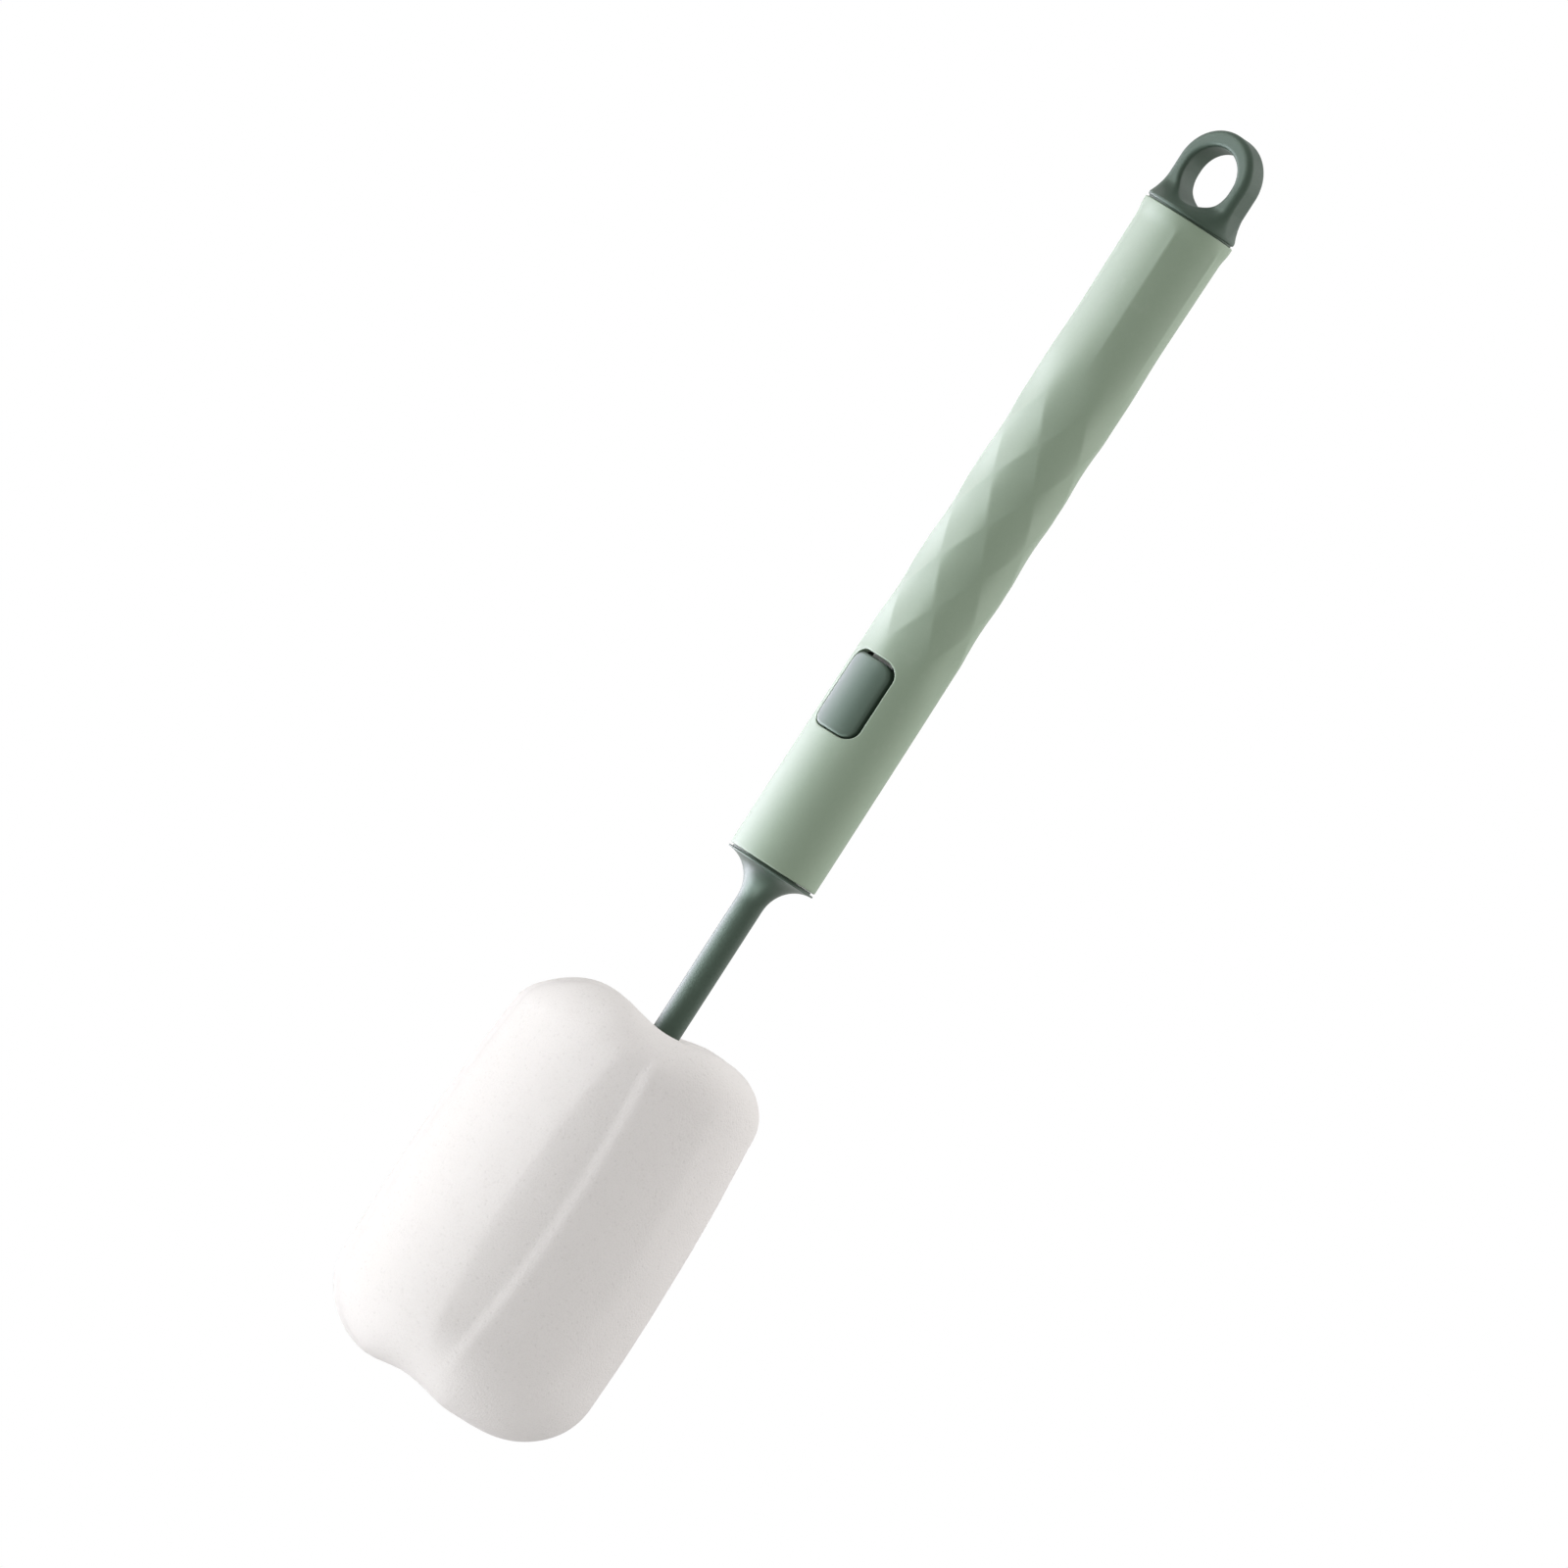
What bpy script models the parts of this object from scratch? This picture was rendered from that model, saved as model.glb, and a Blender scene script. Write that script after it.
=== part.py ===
"""Sponge bottle brush: a foam head on a moulded stem that plugs into a tubular handle with a release button.

Metres, +Z up. The brush stands on the end of its sponge, with the origin in the middle of that end.
The button faces -Y, and the hanging loop's hole runs along Y. Every piece is a closed solid of its own.
"""

import math

import bmesh
import bpy
from mathutils import Matrix, Vector

# Sponge
SPONGE_LENGTH = 0.0908
SPONGE_RADIUS = 0.0304
SPONGE_WIDEST_SHARE = 0.375
SPONGE_TAPER_SHARE = 0.28
SPONGE_TOP_CORNER = 0.0125
SPONGE_TOP_FLAT_RADIUS = 0.0150
SPONGE_END_CORNER = 0.0170
SPONGE_END_FLAT_RADIUS = 0.0140
TOP_CORNER_POWER_SHARE = 1.75
END_CORNER_POWER_SHARE = 2.1
CREASE_COUNT = 4
CREASE_TURN = math.radians(-52)
CREASE_DEPTH = 0.0010
CREASE_SPREAD = math.radians(19)
CREASE_TOP_DIP = 0.0019
CREASE_END_NOTCH = 0.0028
CREASE_HALF_WIDTH = 0.0068
SPONGE_STEPS = 40

# Stem, one moulding: plug, keyed root, flared collar, neck and barbed anchor
NECK_LENGTH = 0.0376
STEM_RADIUS = 0.00305
COLLAR_RIM = 0.0006
COLLAR_FLARE = 0.0078
FLARE_STEPS = 8
ANCHOR_END_COVER = 0.0110
ANCHOR_RADIUS = 0.0029
BARB_RADIUS = 0.0046
BARB_LENGTH = 0.0055
BARB_COUNT = 5
PLUG_RADIUS = 0.0035
PLUG_BEYOND_LOCK = 0.0085
PLUG_TIP = 0.0012
LOCK_GROOVE_RADIUS = 0.00255
KEY_FLATS = 0.0100
KEY_HEIGHT = 0.0050
STEM_STEPS = 32

# Handle shell
HANDLE_LENGTH = 0.1572
HANDLE_END_RADIUS = 0.01015
HANDLE_WAIST_RADIUS = 0.0099
HANDLE_TOP_RADIUS = 0.0106
HANDLE_WAIST_SHARE = 0.56
SHELL_WALL = 0.0020
HANDLE_STEPS = 48

# Diamond grip and the long panels over it
GRIP_COLUMNS = 12
GRIP_HALF_PITCH = 0.00993
GRIP_HALF_ROWS = 6
GRIP_START = 0.0527
GRIP_DIP = 0.00028
GRIP_CUTS = 4
PANEL_DIP = 0.00016
PANEL_FADE = 0.0150
PANEL_TOP_MARGIN = 0.0021

# Release button
BUTTON_HEIGHT_ON_HANDLE = 0.03925
BUTTON_WIDTH = 0.0108
BUTTON_LENGTH = 0.0175
BUTTON_CORNER = 0.0028
BUTTON_GAP = 0.00045
BUTTON_TRAVEL = 0.0015
BUTTON_STOP_GAP = 0.0002
EAR_WIDTH = 0.0060
EAR_REACH = 0.0015
PRONG_WIDTH = 0.0011
PRONG_HEIGHT = 0.0014

# Lock housing in the foot of the handle, and the wire clip that crosses it
HOUSING_FLANGE = 0.0016
HOUSING_FLANGE_LIP = 0.0008
HOUSING_FLOOR = 0.0008
HOUSING_ABOVE_BUTTON = 0.0035
HOUSING_STEPS = 40
WIRE_RADIUS = 0.00055
CLIP_STRAIGHT = 0.0023
CLIP_BEND_OFFSET = 0.0020
CLIP_FLARE = 0.0016

# Seal ring on the plug
SEAL_CORD_RADIUS = 0.00045
SEAL_GROOVE_RADIUS = 0.0026
SEAL_ABOVE_KEY = 0.0030

# Hanging loop, one moulding with the cap that closes the handle
LOOP_HEIGHT = 0.0201
LOOP_WIDTH = 0.0188
LOOP_THICKNESS = 0.0066
LOOP_EDGE = 0.0014
LOOP_SIDE_WALL = 0.0030
LOOP_TOP_WALL = 0.0038
LOOP_FLOOR = 0.00285
CAP_RIM = 0.0008
CAP_FLARE = 0.0042
CAP_SKIRT_LENGTH = 0.0120
CAP_SKIRT_WALL = 0.0016
CAP_RIB_HEIGHT = 0.0010
CAP_STEPS = 40

# Fits
CLEARANCE = 0.0003
SLOT_CLEARANCE = 0.0006
OVERRUN = 0.0040
MERGE = 0.00001

# Places worked out from the sizes above
Z_JOINT = SPONGE_LENGTH + NECK_LENGTH
Z_HANDLE = Z_JOINT + CLEARANCE
Z_HANDLE_TOP = Z_JOINT + HANDLE_LENGTH
Z_CAP = Z_HANDLE_TOP + CLEARANCE
Z_LOOP_TOP = Z_HANDLE_TOP + LOOP_HEIGHT
Z_LOCK = Z_JOINT + BUTTON_HEIGHT_ON_HANDLE
Z_GRIP = Z_JOINT + GRIP_START
Z_GRIP_TOP = Z_GRIP + GRIP_HALF_ROWS * GRIP_HALF_PITCH
BORE_RADIUS = HANDLE_WAIST_RADIUS - SHELL_WALL
HOUSING_RADIUS = BORE_RADIUS - CLEARANCE
HOUSING_BORE = PLUG_RADIUS + CLEARANCE
HOUSING_FLOOR_Y = HOUSING_BORE + HOUSING_FLOOR
BUTTON_BACK_Y = HOUSING_FLOOR_Y + BUTTON_STOP_GAP + BUTTON_TRAVEL
LEG_X = LOCK_GROOVE_RADIUS + CLEARANCE + WIRE_RADIUS
SLOT_HALF_HEIGHT = WIRE_RADIUS + SLOT_CLEARANCE
Z_PLUG_TOP = Z_LOCK + PLUG_BEYOND_LOCK
Z_KEY_TOP = Z_JOINT + KEY_HEIGHT
Z_SEAL = Z_KEY_TOP + SEAL_ABOVE_KEY
SEAL_GROOVE_HALF = SEAL_CORD_RADIUS + CLEARANCE
EAR_HALF_SPAN = BUTTON_LENGTH / 2 + EAR_REACH


def clear_scene():
    """Removes what the file opened with."""
    for thing in list(bpy.data.objects):
        bpy.data.objects.remove(thing, do_unlink=True)


def make_collection(name):
    """Makes a collection and hangs it on the scene."""
    collection = bpy.data.collections.new(name)
    bpy.context.scene.collection.children.link(collection)
    return collection


def make_material(name, colour, roughness, metallic=0.0):
    """Makes a Principled material with one colour."""
    material = bpy.data.materials.new(name)
    material.use_nodes = True
    shader = material.node_tree.nodes["Principled BSDF"]
    shader.inputs["Base Color"].default_value = (*colour, 1.0)
    shader.inputs["Roughness"].default_value = roughness
    shader.inputs["Metallic"].default_value = metallic
    material.diffuse_color = (*colour, 1.0)
    return material


def place(name, mesh, collection, material=None):
    """Makes an object from a mesh and puts it in a collection."""
    thing = bpy.data.objects.new(name, mesh)
    collection.objects.link(thing)
    if material:
        mesh.materials.append(material)
    return thing


def as_cutter(thing):
    """Marks an object as a tool that only shapes others."""
    thing.hide_render = True
    thing.display_type = "WIRE"
    return thing


def settle(thing):
    """Turns an object with its modifiers into a plain mesh, and removes the object."""
    depsgraph = bpy.context.evaluated_depsgraph_get()
    depsgraph.update()
    mesh = bpy.data.meshes.new_from_object(thing.evaluated_get(depsgraph))
    mesh.transform(thing.matrix_world)
    bpy.data.objects.remove(thing, do_unlink=True)
    return mesh


def weld(mesh):
    """Joins vertices that lie on each other, such as those of a curve's caps."""
    work = bmesh.new()
    work.from_mesh(mesh)
    bmesh.ops.remove_doubles(work, verts=work.verts, dist=MERGE)
    work.to_mesh(mesh)
    work.free()
    return mesh


def boolean(thing, tool, operation):
    """Cuts, joins or keeps the shared part of an object and a tool."""
    modifier = thing.modifiers.new(operation.title() + " " + tool.name, "BOOLEAN")
    modifier.operation = operation
    modifier.solver = "EXACT"
    modifier.object = as_cutter(tool)


def turned_mesh(name, profile, steps, closed=False):
    """Turns a profile of (radius, height) points, which runs down its outer side, round the Z axis."""
    mesh = bpy.data.meshes.new(name)
    edges = [(i, i + 1) for i in range(len(profile) - 1)]
    if closed:
        edges.append((len(profile) - 1, 0))
    mesh.from_pydata([(radius, 0, height) for radius, height in profile], edges, [])
    blank = place(name + "_profile", mesh, bpy.context.scene.collection)
    screw = blank.modifiers.new("Turn", "SCREW")
    screw.steps = steps
    screw.render_steps = steps
    screw.use_merge_vertices = True
    screw.merge_threshold = MERGE
    return settle(blank)


def runs_along(edge, axis):
    """Tells whether an edge lies along one of the three axes."""
    run = edge.verts[0].co - edge.verts[1].co
    return all(abs(run[i]) < MERGE for i in range(3) if i != axis)


def block_mesh(name, low, high, corner=0.0, axis=1, segments=4):
    """Makes a box between two corners, with its edges along one axis rounded."""
    work = bmesh.new()
    size = Vector(high) - Vector(low)
    centre = (Vector(high) + Vector(low)) / 2
    bmesh.ops.create_cube(work, size=1)
    bmesh.ops.scale(work, vec=size, verts=work.verts)
    bmesh.ops.translate(work, vec=centre, verts=work.verts)
    if corner:
        upright = [edge for edge in work.edges if runs_along(edge, axis)]
        bmesh.ops.bevel(work, geom=upright, offset=corner, segments=segments, affect="EDGES", profile=0.5)
    mesh = bpy.data.meshes.new(name)
    work.to_mesh(mesh)
    work.free()
    return mesh


def prism_mesh(name, sides, flats, low, high):
    """Makes an upright prism with a given distance across its flats, one pair of them facing along Y."""
    work = bmesh.new()
    radius = flats / 2 / math.cos(math.pi / sides)
    bmesh.ops.create_cone(
        work,
        cap_ends=True,
        segments=sides,
        radius1=radius,
        radius2=radius,
        depth=high - low,
        matrix=Matrix.Translation((0, 0, (low + high) / 2)) @ Matrix.Rotation(math.pi / sides, 4, "Z"),
    )
    mesh = bpy.data.meshes.new(name)
    work.to_mesh(mesh)
    work.free()
    return mesh


def plate_mesh(name, outline, low, high):
    """Makes a flat plate from an (x, y) outline, as a filled 2D curve with depth."""
    curve = bpy.data.curves.new(name, "CURVE")
    curve.dimensions = "2D"
    curve.fill_mode = "BOTH"
    curve.extrude = (high - low) / 2
    spline = curve.splines.new("POLY")
    spline.points.add(len(outline) - 1)
    for point, (x, y) in zip(spline.points, outline):
        point.co = (x, y, 0, 1)
    spline.use_cyclic_u = True
    blank = place(name + "_outline", curve, bpy.context.scene.collection)
    blank.location = (0, 0, (low + high) / 2)
    bpy.context.view_layer.update()
    return weld(settle(blank))


def arc(centre_x, centre_y, radius_x, radius_y, start, end, count):
    """Points on an elliptical arc, both ends included, with angles in degrees."""
    points = []
    for i in range(count + 1):
        angle = math.radians(start + (end - start) * i / count)
        points.append((centre_x + radius_x * math.cos(angle), centre_y + radius_y * math.sin(angle)))
    return points


def smooth(share):
    """Eases a share from 0 to 1, and holds it there outside."""
    share = min(max(share, 0.0), 1.0)
    return share * share * (3 - 2 * share)


def handle_radius(height):
    """The handle's outer radius: a slim waist between a straight foot and a wider top."""
    share = (height - Z_JOINT) / HANDLE_LENGTH
    if share < HANDLE_WAIST_SHARE:
        reach = 1 - share / HANDLE_WAIST_SHARE
        return HANDLE_WAIST_RADIUS + (HANDLE_END_RADIUS - HANDLE_WAIST_RADIUS) * math.sin(reach * math.pi / 2)
    reach = (share - HANDLE_WAIST_SHARE) / (1 - HANDLE_WAIST_SHARE)
    return HANDLE_WAIST_RADIUS + (HANDLE_TOP_RADIUS - HANDLE_WAIST_RADIUS) * reach**2


def grip_dip(angle, height):
    """How deep the grip's skin lies under the plain tube, in shares of GRIP_DIP and PANEL_DIP.

    Diamond corners stand on every second column at a time. Each diamond is a dish with straight raised
    edges. Past the outer corners the dishes fade into short upright folds, and long panels start between
    the other columns.
    """
    column = (angle + math.pi / 2) / (2 * math.pi / GRIP_COLUMNS)
    row = (height - Z_GRIP) / GRIP_HALF_PITCH
    if row < 0:
        row, fade = 0, smooth(1 + (height - Z_GRIP) / GRIP_HALF_PITCH)
    elif row > GRIP_HALF_ROWS:
        row, fade = GRIP_HALF_ROWS, smooth(1 - (height - Z_GRIP_TOP) / GRIP_HALF_PITCH)
    else:
        fade = 1.0
    along = ((row + column) / 2) % 1
    across = ((row - column) / 2) % 1
    diamond = 16 * along * (1 - along) * across * (1 - across)
    between = ((column + 1) / 2) % 1
    start = smooth((height - Z_GRIP_TOP - GRIP_HALF_PITCH / 2) / PANEL_FADE)
    end = smooth((Z_HANDLE_TOP - PANEL_TOP_MARGIN - height) / PANEL_TOP_MARGIN)
    return GRIP_DIP * fade * diamond + PANEL_DIP * start * end * 4 * between * (1 - between)


def shell_profile():
    """The shell's section: outer side down, round the counterbore at its foot, then up the bore."""
    step = GRIP_HALF_PITCH / GRIP_CUTS
    grip = [Z_GRIP + step * i for i in range(-GRIP_CUTS, (GRIP_HALF_ROWS + 1) * GRIP_CUTS + 1)]
    last = Z_HANDLE_TOP - 2 * PANEL_TOP_MARGIN
    run = last - grip[-1]
    panel = [grip[-1] + run * share for share in (1 / 3, 2 / 3, 1)]
    top = [Z_HANDLE_TOP - PANEL_TOP_MARGIN, Z_HANDLE_TOP]
    foot = [Z_HANDLE + (grip[0] - Z_HANDLE) * share for share in (0, 1 / 3, 2 / 3)]
    heights = sorted(foot + grip + panel + top, reverse=True)
    seat = BORE_RADIUS + HOUSING_FLANGE_LIP
    seat_top = Z_HANDLE + HOUSING_FLANGE + CLEARANCE
    outer = [(handle_radius(height), height) for height in heights]
    return outer + [(seat, Z_HANDLE), (seat, seat_top), (BORE_RADIUS, seat_top), (BORE_RADIUS, Z_HANDLE_TOP)]


def press_grip(mesh):
    """Presses the diamonds and panels into the tube's skin, and splits its quads along the raised edges."""
    work = bmesh.new()
    work.from_mesh(mesh)
    limit = HANDLE_WAIST_RADIUS - GRIP_DIP
    dips = {}
    for vert in work.verts:
        radius = math.hypot(vert.co.x, vert.co.y)
        if radius > limit:
            dip = grip_dip(math.atan2(vert.co.y, vert.co.x), vert.co.z)
            dips[vert] = dip
            vert.co.x *= 1 - dip / radius
            vert.co.y *= 1 - dip / radius
    for face in [face for face in work.faces if len(face.verts) == 4 and all(v in dips for v in face.verts)]:
        a, b, c, d = face.verts
        if dips[a] + dips[c] <= dips[b] + dips[d]:
            bmesh.utils.face_split(face, a, c)
        else:
            bmesh.utils.face_split(face, b, d)
    work.to_mesh(mesh)
    work.free()
    return mesh


def make_handle_shell(parts, tools, material):
    """The light green tube: faceted grip, open ends, a seat at its foot and a window for the button."""
    mesh = press_grip(turned_mesh("handle_shell", shell_profile(), HANDLE_STEPS, closed=True))
    shell = place("handle_shell", mesh, parts, material)
    half_width = BUTTON_WIDTH / 2 + BUTTON_GAP
    half_length = BUTTON_LENGTH / 2 + BUTTON_GAP
    window = block_mesh(
        "button_window",
        (-half_width, -HANDLE_TOP_RADIUS - OVERRUN, Z_LOCK - half_length),
        (half_width, 0, Z_LOCK + half_length),
        BUTTON_CORNER + BUTTON_GAP,
    )
    boolean(shell, place("button_window", window, tools), "DIFFERENCE")
    return shell


def make_lock_housing(parts, tools, material):
    """The guide in the handle's foot: seat flange, plug bore, keyway, button pocket and clip slot."""
    top = Z_LOCK + EAR_HALF_SPAN + HOUSING_ABOVE_BUTTON
    flange = HOUSING_RADIUS + HOUSING_FLANGE_LIP
    flange_top = Z_HANDLE + HOUSING_FLANGE
    profile = [
        (HOUSING_RADIUS, top),
        (HOUSING_RADIUS, flange_top),
        (flange, flange_top),
        (flange, Z_HANDLE),
        (HOUSING_BORE, Z_HANDLE),
        (HOUSING_BORE, top),
    ]
    mesh = turned_mesh("lock_housing", profile, HOUSING_STEPS, closed=True)
    housing = place("lock_housing", mesh, parts, material)
    keyway = prism_mesh("keyway", 6, KEY_FLATS + 2 * CLEARANCE, Z_JOINT - OVERRUN, Z_KEY_TOP + CLEARANCE)
    boolean(housing, place("keyway", keyway, tools), "DIFFERENCE")
    half_width = BUTTON_WIDTH / 2 + BUTTON_GAP
    half_length = EAR_HALF_SPAN + BUTTON_GAP
    pocket = block_mesh(
        "button_pocket",
        (-half_width, -HOUSING_RADIUS - OVERRUN, Z_LOCK - half_length),
        (half_width, -HOUSING_FLOOR_Y, Z_LOCK + half_length),
    )
    boolean(housing, place("button_pocket", pocket, tools), "DIFFERENCE")
    bend_back = CLIP_BEND_OFFSET + LEG_X + WIRE_RADIUS + CLEARANCE
    bend_side = LEG_X + WIRE_RADIUS + SLOT_CLEARANCE
    slot_outline = [
        (-HOUSING_RADIUS - OVERRUN, -HOUSING_RADIUS - OVERRUN),
        (HOUSING_RADIUS + OVERRUN, -HOUSING_RADIUS - OVERRUN),
        (HOUSING_RADIUS + OVERRUN, -CLIP_STRAIGHT / 2),
        (bend_side, -CLIP_STRAIGHT / 2),
        *arc(0, CLIP_BEND_OFFSET, bend_side, bend_back - CLIP_BEND_OFFSET, 0, 180, 12),
        (-bend_side, -CLIP_STRAIGHT / 2),
        (-HOUSING_RADIUS - OVERRUN, -CLIP_STRAIGHT / 2),
    ]
    slot = plate_mesh("clip_slot", slot_outline, Z_LOCK - SLOT_HALF_HEIGHT, Z_LOCK + SLOT_HALF_HEIGHT)
    boolean(housing, place("clip_slot", slot, tools), "DIFFERENCE")
    return housing


def clip_route():
    """The hairpin's centre line in its own plane: flared tip, leg, half round bend, leg and flared tip."""
    bend = arc(0, CLIP_BEND_OFFSET, LEG_X, LEG_X, 0, 180, 12)
    right = [(LEG_X + CLIP_FLARE, -CLIP_STRAIGHT - CLIP_FLARE), (LEG_X, -CLIP_STRAIGHT)]
    left = [(-LEG_X, -CLIP_STRAIGHT), (-LEG_X - CLIP_FLARE, -CLIP_STRAIGHT - CLIP_FLARE)]
    return right + bend + left


def make_latch_clip(parts, material):
    """The steel hairpin: its legs lie in the plug's groove, its flared tips meet the button's prongs."""
    curve = bpy.data.curves.new("latch_clip", "CURVE")
    curve.dimensions = "3D"
    curve.bevel_depth = WIRE_RADIUS
    curve.bevel_resolution = 2
    curve.use_fill_caps = True
    spline = curve.splines.new("POLY")
    route = clip_route()
    spline.points.add(len(route) - 1)
    for point, (x, y) in zip(spline.points, route):
        point.co = (x, y, 0, 1)
    blank = place("latch_clip_wire", curve, bpy.context.scene.collection)
    blank.location = (0, 0, Z_LOCK)
    bpy.context.view_layer.update()
    return place("latch_clip", weld(settle(blank)), parts, material)


def prong_outline(side):
    """One prong's outline: a bar cut at 45 degrees on its outer face, to lie along the clip's flared tip."""
    slant = LEG_X - CLIP_STRAIGHT - (WIRE_RADIUS + CLEARANCE) * math.sqrt(2)
    inner = PLUG_RADIUS - CLEARANCE + BUTTON_STOP_GAP
    outer = inner + PRONG_WIDTH
    root = -BUTTON_BACK_Y - CLEARANCE
    points = [(inner, root), (outer, root), (outer, slant - outer), (inner, slant - inner)]
    return [(side * x, y) for x, y in points]


def make_release_button(parts, tools, material):
    """The dark green button: a pad flush with the tube, an ear behind each end of its window, two prongs."""
    half_width = BUTTON_WIDTH / 2
    half_length = BUTTON_LENGTH / 2
    pad = block_mesh(
        "release_button",
        (-half_width, -HANDLE_TOP_RADIUS - OVERRUN, Z_LOCK - half_length),
        (half_width, -BUTTON_BACK_Y, Z_LOCK + half_length),
        BUTTON_CORNER,
    )
    button = place("release_button", pad, parts, material)
    heights = [Z_LOCK + BUTTON_LENGTH, Z_LOCK, Z_LOCK - BUTTON_LENGTH]
    skin = [(0, heights[0])] + [(handle_radius(height), height) for height in heights] + [(0, heights[-1])]
    boolean(button, place("button_skin", turned_mesh("button_skin", skin, HANDLE_STEPS), tools), "INTERSECT")
    ear_front = math.sqrt(BORE_RADIUS**2 - (EAR_WIDTH / 2) ** 2) - CLEARANCE
    ears = block_mesh(
        "button_ears",
        (-EAR_WIDTH / 2, -ear_front, Z_LOCK - EAR_HALF_SPAN),
        (EAR_WIDTH / 2, -BUTTON_BACK_Y, Z_LOCK + EAR_HALF_SPAN),
    )
    boolean(button, place("button_ears", ears, tools), "UNION")
    for side, label in ((-1, "left"), (1, "right")):
        name = "button_prong_" + label
        mesh = plate_mesh(name, prong_outline(side), Z_LOCK - PRONG_HEIGHT / 2, Z_LOCK + PRONG_HEIGHT / 2)
        boolean(button, place(name, mesh, tools), "UNION")
    return button


def stem_profile():
    """The stem's section from the plug's tip down to the end of its barbed anchor."""
    half_groove = SLOT_HALF_HEIGHT
    anchor_top = SPONGE_LENGTH - BARB_LENGTH
    anchor_run = anchor_top - ANCHOR_END_COVER
    points = [
        (0, Z_PLUG_TOP),
        (PLUG_RADIUS - PLUG_TIP / 2, Z_PLUG_TOP),
        (PLUG_RADIUS, Z_PLUG_TOP - PLUG_TIP),
        (PLUG_RADIUS, Z_LOCK + half_groove),
        (LOCK_GROOVE_RADIUS, Z_LOCK + half_groove),
        (LOCK_GROOVE_RADIUS, Z_LOCK - half_groove),
        (PLUG_RADIUS, Z_LOCK - half_groove),
        (PLUG_RADIUS, Z_SEAL + SEAL_GROOVE_HALF),
        (SEAL_GROOVE_RADIUS, Z_SEAL + SEAL_GROOVE_HALF),
        (SEAL_GROOVE_RADIUS, Z_SEAL - SEAL_GROOVE_HALF),
        (PLUG_RADIUS, Z_SEAL - SEAL_GROOVE_HALF),
        (PLUG_RADIUS, Z_JOINT),
        (HANDLE_END_RADIUS, Z_JOINT),
        (HANDLE_END_RADIUS, Z_JOINT - COLLAR_RIM),
    ]
    spread = HANDLE_END_RADIUS - STEM_RADIUS
    for i in range(1, FLARE_STEPS + 1):
        angle = math.pi / 2 * i / FLARE_STEPS
        radius = STEM_RADIUS + spread * (1 - math.sin(angle))
        points.append((radius, Z_JOINT - COLLAR_RIM - COLLAR_FLARE * (1 - math.cos(angle))))
    points.append((STEM_RADIUS, anchor_top))
    for i in range(BARB_COUNT):
        top = anchor_top - anchor_run * i / BARB_COUNT
        points += [(ANCHOR_RADIUS, top), (ANCHOR_RADIUS, top - anchor_run / BARB_COUNT + BARB_LENGTH)]
        points += [(BARB_RADIUS, top - anchor_run / BARB_COUNT + BARB_LENGTH)]
    points += [(ANCHOR_RADIUS, ANCHOR_END_COVER), (0, ANCHOR_END_COVER)]
    return points


def make_stem(parts, tools, material):
    """The dark green stem: plug, keyed root, flared collar, neck and the barbs in the foam."""
    stem = place("stem", turned_mesh("stem", stem_profile(), STEM_STEPS), parts, material)
    key = prism_mesh("stem_key", 6, KEY_FLATS, Z_JOINT - COLLAR_RIM / 2, Z_KEY_TOP)
    boolean(stem, place("stem_key", key, tools), "UNION")
    return stem


def make_seal_ring(parts, material):
    """The rubber ring in the plug's lower groove."""
    middle = SEAL_GROOVE_RADIUS + SEAL_CORD_RADIUS + CLEARANCE / 2
    profile = arc(middle, Z_SEAL, SEAL_CORD_RADIUS, SEAL_CORD_RADIUS, 90, -270, 8)[:-1]
    return place("seal_ring", turned_mesh("seal_ring", profile, STEM_STEPS, closed=True), parts, material)


def sponge_side_radius(height):
    """The sponge's radius on its side: a barrel that is widest below its middle."""
    off = (height - SPONGE_LENGTH * SPONGE_WIDEST_SHARE) / SPONGE_LENGTH
    return SPONGE_RADIUS * (1 - SPONGE_TAPER_SHARE * off**2)


def corner_points(radius, flat, corner, power, count):
    """A rounded corner as (radius, depth from its end) points, from the flat end to the side."""
    points = []
    for i in range(count + 1):
        angle = math.pi / 2 * i / count
        across = flat + (radius - flat) * math.sin(angle) ** (2 / power)
        points.append((across, corner * (1 - math.cos(angle) ** (2 / power))))
    return points


def sponge_profile():
    """The sponge's section: up the bore round the stem, over the top, down the side, across the end."""
    pocket = BARB_RADIUS + CLEARANCE
    mouth = STEM_RADIUS + CLEARANCE
    pocket_top = SPONGE_LENGTH - BARB_LENGTH + CLEARANCE
    top_side = sponge_side_radius(SPONGE_LENGTH - SPONGE_TOP_CORNER)
    end_side = sponge_side_radius(SPONGE_END_CORNER)
    top = corner_points(top_side, SPONGE_TOP_FLAT_RADIUS, SPONGE_TOP_CORNER, TOP_CORNER_POWER_SHARE, 5)
    end = corner_points(end_side, SPONGE_END_FLAT_RADIUS, SPONGE_END_CORNER, END_CORNER_POWER_SHARE, 5)
    bottom = ANCHOR_END_COVER - CLEARANCE
    points = [(0, bottom), (pocket, bottom), (pocket, pocket_top), (mouth, pocket_top)]
    points.append((mouth, SPONGE_LENGTH))
    points += [(mouth + (SPONGE_TOP_FLAT_RADIUS - mouth) * share, SPONGE_LENGTH) for share in (1 / 3, 2 / 3)]
    points += [(radius, SPONGE_LENGTH - depth) for radius, depth in top]
    side_run = SPONGE_LENGTH - SPONGE_TOP_CORNER - SPONGE_END_CORNER
    for i in range(1, 5):
        height = SPONGE_LENGTH - SPONGE_TOP_CORNER - side_run * i / 5
        points.append((sponge_side_radius(height), height))
    points += reversed(end)
    points += [(SPONGE_END_FLAT_RADIUS * share, 0) for share in (3 / 4, 1 / 2, 1 / 4, 0)]
    return points


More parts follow.
